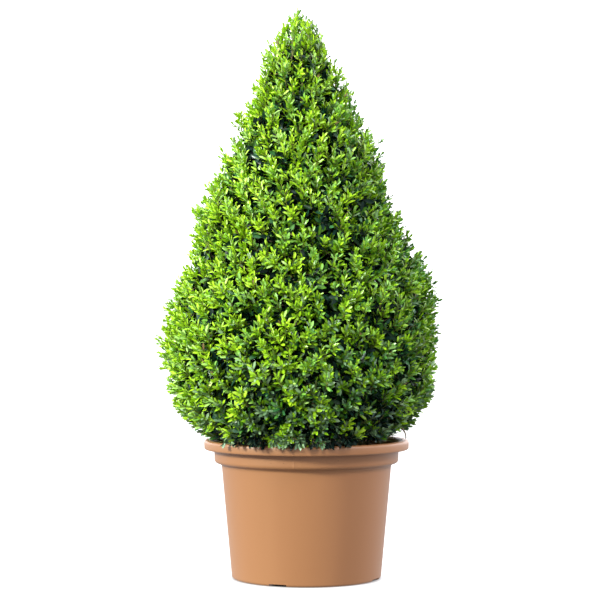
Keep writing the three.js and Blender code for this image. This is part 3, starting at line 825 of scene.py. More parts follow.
# The shears left the face a little uneven: height, how far it stands proud at the left and the right
UNEVEN = [
    (0.258, 0, -0.022), (0.28, 0, -0.013), (0.30, 0, -0.009), (0.32, 0, -0.013), (0.34, 0, -0.008),
    (0.37, -0.007, -0.014), (0.40, -0.002, -0.009), (0.46, 0, -0.009), (0.52, -0.002, 0.004),
    (0.57, -0.012, 0.014), (0.60, -0.014, 0.007), (0.63, -0.008, -0.006), (0.66, 0, -0.005),
    (0.69, 0.009, -0.008), (0.72, 0.008, -0.013), (0.75, 0, -0.002), (0.78, -0.006, 0.014),
    (0.81, -0.010, 0.019), (0.84, -0.008, 0.013), (0.87, -0.008, 0.004), (0.93, -0.005, 0), (0.99, 0, 0),
]
uneven_rows = np.array(UNEVEN)
dice = np.random.default_rng(20817)


def unevenness(z, side):
    """How far the face stands proud: side runs from -1 at the left to 1 at the right."""
    left = np.interp(z, uneven_rows[:, 0], uneven_rows[:, 1])
    right = np.interp(z, uneven_rows[:, 0], uneven_rows[:, 2])
    return left * np.maximum(0, -side) + right * np.maximum(0, side)


def headed(bearing, rise):
    return np.stack([np.cos(bearing) * np.cos(rise), np.sin(bearing) * np.cos(rise), np.sin(rise)], -1)


def outside_by(points):
    """How far points lie outside the clipped outline, measured level."""
    radius = np.hypot(points[..., 0] - axis_x(points[..., 2]), points[..., 1])
    over = np.where(points[..., 2] > CROWN_TOP, 1.0, 0.0)
    return radius - outline_radius(points[..., 2]) + over


def spray_places(space):
    """Spreads sprays evenly over a mass's share of the outline: bearing and height of each."""
    heights = np.linspace(space["foot"], space["top"], 400)
    radii = outline_radius(heights)
    share = np.cumsum(radii * np.hypot(1, np.gradient(radii, heights)))
    area = share[-1] * (heights[1] - heights[0]) * space["width"]
    count = int(area / SPRAY_SPACING**2)
    i = np.arange(count)
    u = (0.5 + i * SPREAD_STEPS[0] + dice.uniform(-SPREAD_STRAY, SPREAD_STRAY, count)) % 1
    v = (0.5 + i * SPREAD_STEPS[1] + dice.uniform(-SPREAD_STRAY, SPREAD_STRAY, count)) % 1
    return space["middle"] + (u - 0.5) * space["width"], np.interp(v, share / share[-1], heights), u, v


class Twigs:
    """Collects bent twigs as chains of points with a thickness at each."""

    def __init__(self):
        self.points, self.edges, self.thickness = [], [], []
        self.count = 0

    def add(self, starts, elbows, ends, steps, thick, thin):
        """Adds a twig for each row of starts, elbows and ends."""
        chain = bent(starts[:, None], elbows[:, None], ends[:, None], steps)
        number = len(starts)
        first = self.count + np.arange(number)[:, None] * (steps + 1) + np.arange(steps)
        self.points.append(chain.reshape(-1, 3))
        self.edges.append(np.stack([first, first + 1], -1).reshape(-1, 2))
        self.thickness.append(np.tile(np.linspace(thick, thin, steps + 1), number))
        self.count += number * (steps + 1)

    def mesh(self, name):
        """All the twigs as one mesh of edges, with the thickness as an attribute of its points."""
        made = bpy.data.meshes.new(name)
        made.from_pydata(np.concatenate(self.points).tolist(), np.concatenate(self.edges).tolist(), [])
        attribute = made.attributes.new("thickness", "FLOAT", "POINT")
        attribute.data.foreach_set("value", np.concatenate(self.thickness))
        return made


woody = Twigs()
inner = Twigs()
green = Twigs()
shoot_feet, shoot_tips, shoot_spray, spray_shade = [], [], [], []
old_feet, old_tips = [], []


def add_shoots(feet, tips, sprays):
    """Notes young shoots and the spray that each belongs to, for the leaves that grow on them."""
    shoot_feet.append(feet)
    shoot_tips.append(tips)
    shoot_spray.append(sprays)


def leaning(directions, spread):
    """Directions that lean away from the given ones to any side, by a spread in degrees."""
    lean = np.radians(dice.uniform(*spread, len(directions)))[:, None]
    around = unit(np.cross(directions, dice.normal(0, 1, (len(directions), 3))))
    return directions * np.cos(lean) + around * np.sin(lean)


def cut_back(feet, directions, lengths, limit, share, cuts):
    """Tips of shoots that are shortened by a share, and again, while they pass the limit."""
    for _ in range(cuts):
        over = outside_by(feet + directions * lengths[:, None]) > limit
        lengths = np.where(over, lengths * share, lengths)
    return feet + directions * lengths[:, None]


spray_total = 0
for space in spaces:
    bearing, height, u, v = spray_places(space)
    count = len(bearing)
    radius = outline_radius(height)
    at_foot = np.exp((CROWN_FOOT - height) / FOOT_LEAVES)
    at_top = np.exp((height - CROWN_TOP) / TOP_LEAVES)
    rise = rise_at(height) + TURN_UP + FOOT_TURN_UP * at_foot + dice.normal(0, HEADING_STRAY, count)
    heading = bearing + dice.normal(0, HEADING_STRAY, count)
    direction = headed(heading, rise)
    waves = np.array([noise.noise(Vector(p) * WAVE_SCALE) for p in place(radius, bearing, height)])
    proud = SPRAY_UNEVEN * waves + dice.normal(0, FACE_STRAY, count)
    sunk = dice.uniform(*SPRAY_SUNK, count) * np.minimum(1, radius / ROOM_TO_SINK)
    proud -= np.where(dice.random(count) < SUNK_SHARE, sunk, 0)
    proud += np.where(dice.random(count) < STRAY_SHARE, dice.uniform(*STRAY_REACH, count), 0)
    spray_shade.append(SUNK_SHADE * np.maximum(0, -proud) / SPRAY_SUNK[1])
    proud += TOP_PROUD * at_top + unevenness(height, np.cos(bearing))
    tip = place(radius + proud, bearing, height)
    foot = tip - direction * SPRAY_DEPTH
    bend = dice.normal(0, SHOOT_BEND, (count, 3))
    green.add(foot, (foot + tip) / 2 + bend, tip, 2, *SHOOT_RADII)
    spray_numbers = spray_total + np.arange(count)
    spray_total += count
    add_shoots(foot, tip, spray_numbers)
    for _ in range(SHOOTS_A_SPRAY):
        way = leaning(direction, SIDE_SPREAD)
        side_foot = foot + direction * dice.uniform(*SIDE_FOOT, count)[:, None] * SPRAY_DEPTH
        length = SPRAY_DEPTH * dice.uniform(*SIDE_LENGTH, count)
        side_tip = cut_back(side_foot, way, length, proud + SIDE_PROUD, *SIDE_CUTS)
        elbow = (side_foot + side_tip) / 2 + direction * SIDE_BEND
        green.add(side_foot, elbow, side_tip, 2, *SIDE_RADII)
        add_shoots(side_foot, side_tip, spray_numbers)

    # One branch to each cell of the mass, and from it a branchlet to each spray in the cell.
    for cell in range(BRANCH_CELLS**2):
        row, column = divmod(cell, BRANCH_CELLS)
        inside = (u * BRANCH_CELLS // 1 == column) & (v * BRANCH_CELLS // 1 == row)
        if not inside.any():
            continue
        feet = foot[inside]
        outward = direction[inside]
        gathered = feet.mean(0)
        root = space["stub_foot"]
        fork = space["fork"]
        if space["sectors"] == 1:
            root, fork = [
                stem_centre(max(space["foot"] - least, gathered[2] - drop))
                for least, drop in TIP_BRANCH_DROPS
            ]
        branch_end = fork + (gathered - fork) * BRANCH_REACH
        thick = max(space["bough_radius"] * BOUGH_TAPER * BRANCH_TAPER, BRANCH_THINNEST)
        woody.add(root[None], fork[None], branch_end[None], 8, thick, BRANCH_TIP_RADIUS)
        starts = np.tile(branch_end, (len(feet), 1))
        reach = np.linalg.norm(feet - starts, axis=1)[:, None]
        elbows = feet - outward * reach * BOUGH_BEND
        woody.add(starts, elbows, feet, 4, *BRANCHLET_RADII)
        old_feet.append((starts + elbows) / 2)
        old_tips.append(feet)
        for _ in range(INNER_SHOOTS):
            way = leaning(outward, INNER_SPREAD)
            inner_foot = feet - outward * dice.uniform(*INNER_FOOT, len(feet))[:, None]
            length = dice.uniform(*INNER_LENGTH, len(feet))
            inner_tip = cut_back(inner_foot, way, length, -INNER_DEPTH, *INNER_CUTS)
            elbow = (inner_foot + inner_tip) / 2 + outward * INNER_BEND
            inner.add(inner_foot, elbow, inner_tip, 2, *INNER_RADII)
            old_feet.append(inner_foot)
            old_tips.append(inner_tip)

# Apron: young leafy shoots that hang from the crown's foot over the rim of the pot. They grow at the front
# and, every second one, at the back, on thin twigs of their own.
APRON_SHOOTS = 110
APRON_SHADE = 1.5
APRON_FRONT_SHADE = 2.6
APRON_MIDDLE = math.radians(-100)
APRON_SPREAD = math.radians(36)
APRON_FOOT = ((0.160, 0.178), (0.276, 0.286))  # from and to: distance from the axis, height
APRON_TIP = ((0.195, 0.205), (0.258, 0.270))
APRON_STRAY = 0.06
APRON_BEND = (0, 0, 0.003)
APRON_RADII = (0.0007, 0.0004)


def strewn(radii, heights, bearing, stray=None):
    """Points at random radii and heights, each turned a little off its bearing if it may stray."""
    radius = dice.uniform(*radii, len(bearing))
    if stray:
        bearing = bearing + dice.normal(0, stray, len(bearing))
    return place(radius, bearing, dice.uniform(*heights, len(bearing)))


apron_bearing = APRON_MIDDLE + dice.uniform(-APRON_SPREAD, APRON_SPREAD, APRON_SHOOTS)
apron_bearing[::2] += math.pi
apron_foot = strewn(*APRON_FOOT, apron_bearing)
apron_tip = strewn(*APRON_TIP, apron_bearing, APRON_STRAY)
woody.add(apron_foot, (apron_foot + apron_tip) / 2 + np.array(APRON_BEND), apron_tip, 3, *APRON_RADII)
add_shoots(apron_foot, apron_tip, spray_total + np.arange(APRON_SHOOTS))
spray_shade.append(np.where(np.arange(APRON_SHOOTS) % 2, APRON_FRONT_SHADE, APRON_SHADE))
spray_total += APRON_SHOOTS

# Dry twigs: a few bare ones that died and lie in the gap between the crown's foot and the rim. They sag
# between the place where they grew and the rim.
DRY_TWIGS = 26
DRY_FOOT = ((0.12, 0.15), (0.262, 0.272))
DRY_TIP = ((0.168, 0.184), (0.259, 0.266))
DRY_STRAY = 0.2
DRY_SAG = (0, 0, 0.004)
DRY_RADII = (0.0009, 0.0006)
dry_bearing = dice.uniform(0, 2 * math.pi, DRY_TWIGS)
dry_foot = strewn(*DRY_FOOT, dry_bearing)
dry_tip = strewn(*DRY_TIP, dry_bearing, DRY_STRAY)
woody.add(dry_foot, (dry_foot + dry_tip) / 2 - np.array(DRY_SAG), dry_tip, 4, *DRY_RADII)

# Drooping twig: one longer woody twig without leaves. It leaves the crown's foot at the right, bends
# down beside it and ends just over the rim.
DROOPING_TWIG = np.array([(0.155, -0.045, 0.288), (0.183, -0.050, 0.282), (0.182, -0.050, 0.2605)])
DROOPING_RADII = (0.0019, 0.0013)
woody.add(*DROOPING_TWIG[:, None], 6, *DROOPING_RADII)

# Leader: the young shoot that leads the plant upwards, with others close around it. They stand upright
# at the crown's tip, each a little lower than the one before.
LEADER_SHOOTS = 16
LEADER_SPACING = 0.0078
LEADER_GATHER = 0.4
LEADER_LENGTH = 0.06
LEADER_FALL = 0.0035
LEADER_PROUD = 0.003
LEADER_SHADE = 4.0
LEADER_RADII = (0.0009, 0.0005)
step = np.arange(LEADER_SHOOTS)
turn = step * math.pi * (3 - math.sqrt(5))
leader_out = LEADER_SPACING * np.sqrt(step)
leader_foot = place(leader_out * LEADER_GATHER, turn, CROWN_TOP - LEADER_LENGTH - LEADER_FALL * step / 2)
leader_tip = place(leader_out, turn, CROWN_TOP + LEADER_PROUD - LEADER_FALL * step)
green.add(leader_foot, (leader_foot + leader_tip) / 2, leader_tip, 3, *LEADER_RADII)
add_shoots(leader_foot, leader_tip, spray_total + step)
spray_shade.append(np.full(LEADER_SHOOTS, LEADER_SHADE))
spray_total += LEADER_SHOOTS

tube_tree, tube_inputs = new_tree("twigs", [
    ("Sides", "NodeSocketInt"),
    ("Material", "NodeSocketMaterial"),
])
chains = tube_tree.nodes.new("GeometryNodeMeshToCurve")
thickness = add_node(tube_tree, "GeometryNodeInputNamedAttribute", ("Name", "thickness"))
thickness.data_type = "FLOAT"
section = add_node(tube_tree, "GeometryNodeCurvePrimitiveCircle", ("Radius", 1.0))
sweep = add_node(tube_tree, "GeometryNodeCurveToMesh", ("Fill Caps", True))
wire(
    tube_tree,
    (tube_inputs, "Geometry", chains, "Mesh"),
    (tube_inputs, "Sides", section, "Resolution"),
    (chains, "Curve", sweep, "Curve"),
    (section, "Curve", sweep, "Profile Curve"),
    (thickness, "Attribute", sweep, "Scale"),
)
close_tree(tube_tree, sweep, "Mesh", tube_inputs)

green_bark, tree, shader = new_material("green_shoot_bark", 0.5)
mottle(tree, shader, 45.0, [(0.35, (0.14, 0.20, 0.03)), (0.65, (0.30, 0.30, 0.07))])
foliage_nodes = [f"foliage_{space['label']}" for space in spaces]
for name, twigs, sides, material, material_slot in [
    ("branches_and_branchlets", woody, 5, bark, "bark"),
    ("inner_twigs", inner, 5, bark, "bark"),
    ("young_shoots", green, 3, green_bark, "foliage"),
]:
    made = grow(name, twigs.mesh(name), tube_tree, {"Sides": sides, "Material": material})
    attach(made, "root")
    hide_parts(*foliage_nodes)

# Leaves: small oval boxwood leaves in crossed pairs along each shoot, cupped along the midrib and
# glossy. Those at the tips of the shoots are young and yellow-green, and those deeper in are dark. Their
# colours also carry painted shade and light, set by where each shoot sits on the crown.
LEAF_LENGTH = 0.0162
LEAF_WIDTH = 0.36
LEAF_FORMS = [(0.05, 0.10, 0.48), (0.08, 0.03, 0.52), (0.03, 0.16, 0.46)]  # fold, curl, widest at
LEAF_SIDES = (0.26, 0.78, 0.2, 0.98)  # below and above the widest place: how far off, how wide there
PAIRS = 6
FIRST_PAIR = 0.0025
PAIR_SPACING = 0.0073
BARE_FOOT = 0.003
PAIR_SPREAD = (16, 29, 39, 46, 51, 55)  # degrees from the shoot
PAIR_SIZE = (0.68, 0.9, 1.0, 1.02, 1.0, 0.95)
KEPT_SHARE = 0.96
TWIST_STRAY = 0.25
SPREAD_STRAY_DEGREES = 9
SIZE_BY_SHOOT = (0.85, 1.12)
SIZE_BY_LEAF = (0.88, 1.1)
FOOT_SIZE = 0.2
LEAVES_A_PIECE = 24500
# Old leaves on the branchlets and inner shoots: broad, spread wide and dark, set old enough to take the
# near-black painted shade of the crown's inside
OLD_PAIRS = 5
OLD_LEAF_SPACING = 0.0075
OLD_LEAF_DEPTH = 0.009
OLD_SPREAD = 66
OLD_SPREAD_STRAY = 14
OLD_SIDE_STRAY = 0.4
OLD_SIZE = (1.15, 1.4)
OLD_AGE = 9.0
# How old and how shaded the leaves of a shoot look: what each cause adds or takes away. Age is real:
# random by spray and patch, and older further down each shoot, where there is also more shade. The rest is
# painted shade and light by place: darker to the right, away from the key lamp, lower down, at the foot
# and its underside, at the upper right and at the very tip; in light and dark clumps at the foot and the
# right;
# lighter towards the top and on the right edge.
PATCH_SCALE = 19
PATCH_SHIFT = Vector((1.3, 0, 0))
PATCH_AGE = 2.4
AGE_STRAY = 0.3
PAIR_AGE = 0.65
PAINTED_RIGHT_SHADE = 4.7
FOOT_EVEN = 0.7
PAINTED_HEIGHT_SHADE = 1.8
MIDDLE_HEIGHT = 0.6
PAINTED_TOP_LIGHT = 3.5
HIGH_LEAVES = 0.25  # as TOP_LEAVES, for what changes over the whole upper part
PAINTED_HIGH_SIDE_SHADE = 2.2
PAINTED_TIP_SHADE = 2.5
TIP_LEAVES = 0.03
CLUMP_BY_SPRAY = 1.2
CLUMP_BY_PATCH = 3.5
FOOT_CLUMP_LIGHT_AND_SHADE = 4.8
PAINTED_FOOT_SHADE = 2.8
PAINTED_UNDERSIDE_SHADE = 4
LOWEST_FADE = 8
RIGHT_CLUMP_LIGHT_AND_SHADE = 1.3
FOOT_NEARNESS = 0.3
DARKEST_AT_FOOT = 7.6  # from that nearness to the foot on
RIGHT_EDGE = 0.8
DARKEST_AT_RIGHT_EDGE = 4.5  # beyond that share of the outline's radius
# Shares of leaves with painted sheen, of bluish and of straw-coloured leaves. The painted sheen is a
# greyer, bluer colour at the foot and the upper right that stands for room light reflected off glossy
# leaves
PAINTED_SHEEN_FOOT = 0.84
PAINTED_SHEEN_TOP = 0.12
PAINTED_SHEEN_RIGHT = 0.45
PAINTED_SHEEN_FADE = 1.5
COOL_SHARES = (0.1, 0.5)  # a spray has one or the other
STRAW_LEAVES = 140
STRAW_YOUNGER = 4  # than the old leaves
STRAW_AGE = -100  # below every other age
# The pot's rim and an open gap over it, higher at the right than at the left, stay free of leaves
POT_CLEAR = 0.0025
RIM_GAP = 0.014
RIM_GAP_LEFT = 0.3
RIM_GAP_TURN = (0.75, 0.9)
RIM_GAP_IN = 0.16
RIM_GAP_OUT = 0.03


def leaf_mesh(name, fold, curl, widest):
    """A leaf along +Y, one unit long, its upper side to +Z: eight faces folded along the midrib."""
    half_width = LEAF_WIDTH / 2
    below, wide_below, above, wide_above = LEAF_SIDES
    rows = [(0, 0, 0), (widest - below, wide_below, 1), (widest + above, wide_above, 1), (1, 0, 0)]
    verts, uvs = [], []
    for y, wide, has_edges in rows:
        drop = -curl * y * y
        verts.append((0, y, drop))
        uvs.append((0.5, y))
        if has_edges:
            for side in (-1, 1):
                verts.append((side * half_width * wide, y + 0.03, drop + fold * wide))
                uvs.append((0.5 + side * 0.5 * wide, y))
    faces = [(0, 1, 2), (0, 3, 1), (2, 1, 4, 5), (1, 3, 6, 4), (5, 4, 7), (4, 6, 7)]
    mesh = bpy.data.meshes.new(name)
    mesh.from_pydata(verts, [], faces)
    layer = mesh.uv_layers.new(name="UVMap")
    for loop in mesh.loops:
        layer.data[loop.index].uv = uvs[loop.vertex_index]
    work = bmesh.new()
    work.from_mesh(mesh)
    bmesh.ops.triangulate(work, faces=work.faces)
    bmesh.ops.recalc_face_normals(work, faces=work.faces)
    if sum(face.normal.z for face in work.faces) < 0:
        bmesh.ops.reverse_faces(work, faces=work.faces)
    work.to_mesh(mesh)
    work.free()
    return mesh


leaf_forms = bpy.data.collections.new("leaf_forms")
for number, (fold, curl, widest) in enumerate(LEAF_FORMS):
    form = bpy.data.objects.new(f"leaf_{number}", leaf_mesh(f"leaf_{number}", fold, curl, widest))
    leaf_forms.objects.link(form)

leaf_tree, leaf_inputs = new_tree("leaves", [
    ("Forms", "NodeSocketCollection"),
    ("Material", "NodeSocketMaterial"),
])
forms = add_node(
    leaf_tree,
    "GeometryNodeCollectionInfo",
    ("Separate Children", True),
    ("Reset Children", True),
)
put = add_node(leaf_tree, "GeometryNodeInstanceOnPoints", ("Pick Instance", True))
wire(
    leaf_tree,
    (leaf_inputs, "Forms", forms, "Collection"),
    (leaf_inputs, "Geometry", put, "Points"),
    (forms, "Instances", put, "Instance"),
)
for label, kind, socket in [
    ("form", "INT", "Instance Index"),
    ("turn", "QUATERNION", "Rotation"),
    ("size", "FLOAT", "Scale"),
]:
    value = add_node(leaf_tree, "GeometryNodeInputNamedAttribute", ("Name", label))
    value.data_type = kind
    wire(leaf_tree, (value, "Attribute", put, socket))
close_tree(leaf_tree, put, "Instances", leaf_inputs)


def quaternions(along, up):
    """Turns that lay a leaf's +Y along one direction with its +Z as near as can be to another."""
    x = unit(np.cross(along, up))
    z = np.cross(x, along)
    m00, m10, m20 = x.T
    m01, m11, m21 = along.T
    m02, m12, m22 = z.T
    w = np.sqrt(np.maximum(1e-12, 1 + m00 + m11 + m22)) / 2
    i = np.sqrt(np.maximum(0, 1 + m00 - m11 - m22)) / 2
    j = np.sqrt(np.maximum(0, 1 - m00 + m11 - m22)) / 2
    k = np.sqrt(np.maximum(0, 1 - m00 - m11 + m22)) / 2
    return np.stack([
        w,
        np.copysign(i, m21 - m12),
        np.copysign(j, m02 - m20),
        np.copysign(k, m10 - m01),
    ], -1)


leaves = []


def add_leaves(roots, stems, around, spread, size, age_and_shade, hue):
    """Adds one leaf at each root, leaning from its stem towards around by the spread."""
    along = stems * np.cos(spread)[:, None] + around * np.sin(spread)[:, None]
    up = stems * np.sin(spread)[:, None] - around * np.cos(spread)[:, None]
    leaves.append((roots, along, up, size, age_and_shade, hue))


feet = np.concatenate(shoot_feet)
tips = np.concatenate(shoot_tips)
sprays = np.concatenate(shoot_spray)
stems = unit(tips - feet)
lengths = np.linalg.norm(tips - feet, axis=1)
shoot_total = len(feet)
heights = tips[:, 2]
spray_age = dice.normal(0, 1.0, spray_total)
patch = np.array([noise.noise(Vector(tip) * PATCH_SCALE + PATCH_SHIFT) for tip in tips])
near_foot = np.exp(-np.maximum(0, heights - CROWN_FOOT) / FOOT_LEAVES)
high_up = np.exp(np.minimum(0, heights - CROWN_TOP) / HIGH_LEAVES)
to_right = tips[:, 0] / CROWN_RADIUS
off_axis = tips[:, 0] - axis_x(heights)
aside = np.clip(off_axis / np.maximum(0.02, outline_radius(heights)), -1, 1)
clump = np.tanh(CLUMP_BY_SPRAY * spray_age[sprays] + CLUMP_BY_PATCH * patch)

# Age and painted shade of each shoot: random age by spray and patch, then painted shade and light by
# place.
shoot_age_and_shade = spray_age[sprays] + PATCH_AGE * patch + dice.normal(0, AGE_STRAY, shoot_total)
shoot_age_and_shade += (
    PAINTED_RIGHT_SHADE * (1 - FOOT_EVEN * near_foot) * to_right
    - PAINTED_HEIGHT_SHADE * (heights - MIDDLE_HEIGHT) / crown_height
)
shoot_age_and_shade -= PAINTED_TOP_LIGHT * np.exp((heights - CROWN_TOP) / TOP_LEAVES)
shoot_age_and_shade += (
    near_foot * (FOOT_CLUMP_LIGHT_AND_SHADE * clump + PAINTED_FOOT_SHADE)
    + PAINTED_UNDERSIDE_SHADE * near_foot**LOWEST_FADE
    + RIGHT_CLUMP_LIGHT_AND_SHADE * np.maximum(0, to_right) * clump
)
shoot_age_and_shade += PAINTED_HIGH_SIDE_SHADE * high_up * aside + PAINTED_TIP_SHADE * np.exp((heights - CROWN_TOP) / TIP_LEAVES)
# Limits on the painted shade: near the foot and on the right edge's silhouette no shoot is darker than its
# cap.
shoot_age_and_shade = np.where(near_foot > FOOT_NEARNESS, np.minimum(shoot_age_and_shade, DARKEST_AT_FOOT), shoot_age_and_shade)
shoot_age_and_shade += np.concatenate(spray_shade)[sprays]
right_edge = off_axis > RIGHT_EDGE * outline_radius(heights)
shoot_age_and_shade[right_edge] = np.minimum(shoot_age_and_shade[right_edge], DARKEST_AT_RIGHT_EDGE)

first_side = unit(np.cross(stems, dice.normal(0, 1, (shoot_total, 3))))
second_side = np.cross(stems, first_side)
shoot_size = dice.uniform(*SIZE_BY_SHOOT, shoot_total) * (1 + FOOT_SIZE * near_foot)
shoot_cool = dice.choice(COOL_SHARES, spray_total)[sprays]
# Painted sheen: how many leaves take the greyer, bluer colour that stands for reflected room light, most
# at the foot and the upper right.
dusty = PAINTED_SHEEN_FOOT * near_foot + high_up**PAINTED_SHEEN_FADE * (PAINTED_SHEEN_TOP + PAINTED_SHEEN_RIGHT * np.maximum(0, aside))
for pair in range(PAIRS):
    down = FIRST_PAIR + pair * PAIR_SPACING
    has_pair = lengths > down + BARE_FOOT
    for sign in (1, -1):
        pick = has_pair & (dice.random(shoot_total) < KEPT_SHARE)
        number = int(pick.sum())
        twist = dice.normal(0, TWIST_STRAY, number) + (math.pi / 2 if pair % 2 else 0)
        around = first_side[pick] * np.cos(twist)[:, None] + second_side[pick] * np.sin(twist)[:, None]
        add_leaves(
            tips[pick] - stems[pick] * down,
            stems[pick],
            around * sign,
            np.radians(PAIR_SPREAD[pair] + dice.normal(0, SPREAD_STRAY_DEGREES, number)),
            LEAF_LENGTH * PAIR_SIZE[pair] * shoot_size[pick] * dice.uniform(*SIZE_BY_LEAF, number),
            shoot_age_and_shade[pick] + PAIR_AGE * pair + dice.normal(0, AGE_STRAY, number),
            np.where(dice.random(number) < dusty[pick], 2, dice.random(number) < shoot_cool[pick]),
        )
young_total = sum(len(part[0]) for part in leaves)

old_feet = np.concatenate(old_feet)
old_tips = np.concatenate(old_tips)
old_stems = unit(old_tips - old_feet)
old_lengths = np.linalg.norm(old_tips - old_feet, axis=1)
old_side = unit(np.cross(old_stems, dice.normal(0, 1, old_feet.shape)))
for pair in range(OLD_PAIRS):
    down = pair * OLD_LEAF_SPACING
    has_pair = old_lengths > down
    number = int(has_pair.sum())
    for sign in (1, -1):
        add_leaves(
            (old_tips - old_stems * down)[has_pair],
            old_stems[has_pair],
            unit(old_side[has_pair] + dice.normal(0, OLD_SIDE_STRAY, (number, 3))) * sign,
            np.radians(OLD_SPREAD + dice.normal(0, OLD_SPREAD_STRAY, number)),
            LEAF_LENGTH * dice.uniform(*OLD_SIZE, number),
            OLD_AGE + dice.normal(0, 1, number),
            dice.integers(0, 2, number),
        )

roots, along, up, size, age_and_shade, hue = [np.concatenate(part) for part in zip(*leaves)]
along = unit(along)
leaf_tips = roots + along * size[:, None]
tuck = np.minimum(0, unevenness(leaf_tips[:, 2], leaf_tips[:, 0] / CROWN_RADIUS))
clear = (np.arange(len(roots)) < young_total) | (outside_by(leaf_tips) < tuck - OLD_LEAF_DEPTH)
for share in (0.0, 0.5, 1.0):
    spot = roots + along * (size * share)[:, None]
    radius = np.hypot(spot[:, 0], spot[:, 1])
    at_pot = (radius < pot_rim + POT_CLEAR) & (spot[:, 2] < pot_top + POT_CLEAR)
    sideways = np.clip((np.abs(spot[:, 0]) / radius - RIM_GAP_TURN[0]) / np.ptp(RIM_GAP_TURN), 0, 1)
    gap = np.where(spot[:, 0] > 0, 1.0, RIM_GAP_LEFT) * RIM_GAP * sideways
    over_rim = (radius > RIM_GAP_IN) & (radius < pot_rim + RIM_GAP_OUT)
    clear &= ~(at_pot | ((gap > 0) & over_rim & (spot[:, 2] < pot_top + gap)))
roots, along, up, size, age_and_shade, hue = [v[clear] for v in (roots, along, up, size, age_and_shade, hue)]
turns = quaternions(along, up)
young = np.nonzero(age_and_shade < OLD_AGE - STRAW_YOUNGER)[0]
age_and_shade[dice.choice(young, STRAW_LEAVES, replace=False)] = STRAW_AGE


def margin_shade(tree, blade):
    """Painted shade: a leaf is darker towards its rolled margins and its stalk than along its middle."""
    spot = tree.nodes.new("ShaderNodeUVMap")
    spot.uv_map = "UVMap"
    axes = tree.nodes.new("ShaderNodeSeparateXYZ")
    wire(tree, (spot, "UV", axes, "Vector"))
    across = ramp_node(tree, axes.outputs["X"], [
        (0.0, (0.4, 0.4, 0.4)),
        (0.25, (1, 1, 1)),
        (0.75, (1, 1, 1)),
        (1.0, (0.4, 0.4, 0.4)),
    ])
    down = ramp_node(tree, axes.outputs["Y"], [(0.0, (0.45, 0.45, 0.45)), (0.3, (1, 1, 1))])
    shade = blade
    for factor in (across, down):
        times = tree.nodes.new("ShaderNodeVectorMath")
        times.operation = "MULTIPLY"
        tree.links.new(shade, times.inputs[0])
        tree.links.new(factor, times.inputs[1])
        shade = times.outputs["Vector"]
    return shade


def leaf_material(name, roughness, specular, dark, light):
    material, tree, shader = new_material(f"boxwood_leaf_{name}", roughness)
    shader.inputs["Specular IOR Level"].default_value = specular
    blade = ramp_node(tree, noise_node(tree, 70.0), [(0.35, dark), (0.65, light)])
    tree.links.new(margin_shade(tree, blade), shader.inputs["Base Color"])
    bump_node(tree, shader, [(noise_node(tree, 500.0), 0.2, 0.0004)])
    return material


def add_leaf_pieces(name, members, material):
    """Makes the leaves of one kind, joined into as many pieces as their number needs."""
    for number, part in enumerate(np.array_split(members, math.ceil(len(members) / LEAVES_A_PIECE))):
        piece = f"leaves_{name}_{number + 1}"
        points = bpy.data.meshes.new("points_" + piece)
        points.from_pydata(roots[part].tolist(), [], [])
        for label, kind, values in [
            ("turn", "QUATERNION", turns[part].ravel()),
            ("size", "FLOAT", size[part]),
            ("form", "INT", part % len(LEAF_FORMS)),
        ]:
            points.attributes.new(label, kind, "POINT").data.foreach_set("value", values)
        made = grow(piece, points, leaf_tree, {"Forms": leaf_forms, "Material": material})
        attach(made, "root")
        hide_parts(*foliage_nodes)


# The third hue is painted sheen: greyer and bluer, for room light reflected off glossy leaves in shade.
LEAF_HUES = ("yellow", "blue", "dusty")
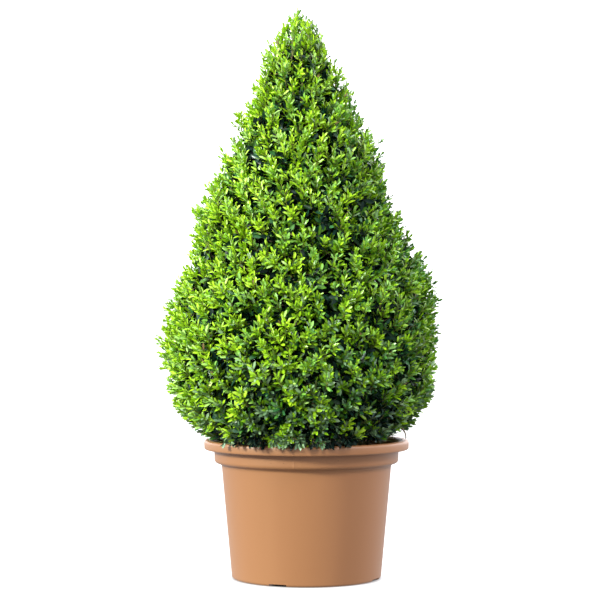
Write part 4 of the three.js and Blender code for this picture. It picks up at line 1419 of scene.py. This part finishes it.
# Leaves take the kinds in order of age and painted shade, from the youngest and best lit to the oldest and
# most shaded.
LEAF_KINDS = [
    # name, share of the leaves, roughness, then specular, darker and lighter colour for each hue
    ("lime", 0.14, 0.35, [
        (0.6, (0.42, 0.70, 0.012), (0.54, 0.88, 0.035)),
        (0.55, (0.36, 0.67, 0.10), (0.49, 0.80, 0.20)),
    ]),
    ("bright", 0.165, 0.34, [
        (0.6, (0.28, 0.53, 0.008), (0.37, 0.66, 0.02)),
        (0.65, (0.20, 0.48, 0.05), (0.30, 0.60, 0.12)),
        (0.55, (0.23, 0.39, 0.17), (0.32, 0.49, 0.26)),
    ]),
    ("fresh", 0.13, 0.34, [
        (0.6, (0.14, 0.33, 0.005), (0.21, 0.43, 0.012)),
        (0.65, (0.08, 0.29, 0.04), (0.14, 0.37, 0.08)),
        (0.55, (0.13, 0.25, 0.12), (0.19, 0.33, 0.17)),
    ]),
    ("grown", 0.11, 0.32, [
        (0.3, (0.05, 0.18, 0.003), (0.09, 0.25, 0.006)),
        (0.55, (0.03, 0.15, 0.04), (0.06, 0.21, 0.07)),
        (0.5, (0.06, 0.145, 0.09), (0.10, 0.195, 0.125)),
    ]),
    ("dark", 0.12, 0.32, [
        (0.3, (0.014, 0.075, 0.006), (0.028, 0.11, 0.01)),
        (0.55, (0.010, 0.062, 0.034), (0.022, 0.09, 0.053)),
        (0.55, (0.024, 0.062, 0.048), (0.042, 0.092, 0.075)),
    ]),
    ("shaded", 0.36, 0.45, [
        (0.12, (0.002, 0.016, 0.004), (0.005, 0.030, 0.008)),
        (0.2, (0.002, 0.014, 0.01), (0.005, 0.026, 0.018)),
        (0.2, (0.004, 0.012, 0.009), (0.008, 0.024, 0.017)),
    ]),
]
order = np.argsort(age_and_shade)
straw = leaf_material("straw", 0.6, 0.3, (0.20, 0.12, 0.05), (0.40, 0.29, 0.14))
add_leaf_pieces("straw", order[:STRAW_LEAVES], straw)
start = STRAW_LEAVES
for kind, share, roughness, colours in LEAF_KINDS:
    end = len(order) if kind == LEAF_KINDS[-1][0] else start + int(share * len(order))
    members = order[start:end]
    start = end
    for number, (specular, dark, light) in enumerate(colours):
        name = f"{kind}_{LEAF_HUES[number]}"
        of_hue = members[hue[members] % len(colours) == number]
        add_leaf_pieces(name, of_hue, leaf_material(name, roughness, specular, dark, light))
for form in list(leaf_forms.objects):
    bpy.data.objects.remove(form)
bpy.data.collections.remove(leaf_forms)
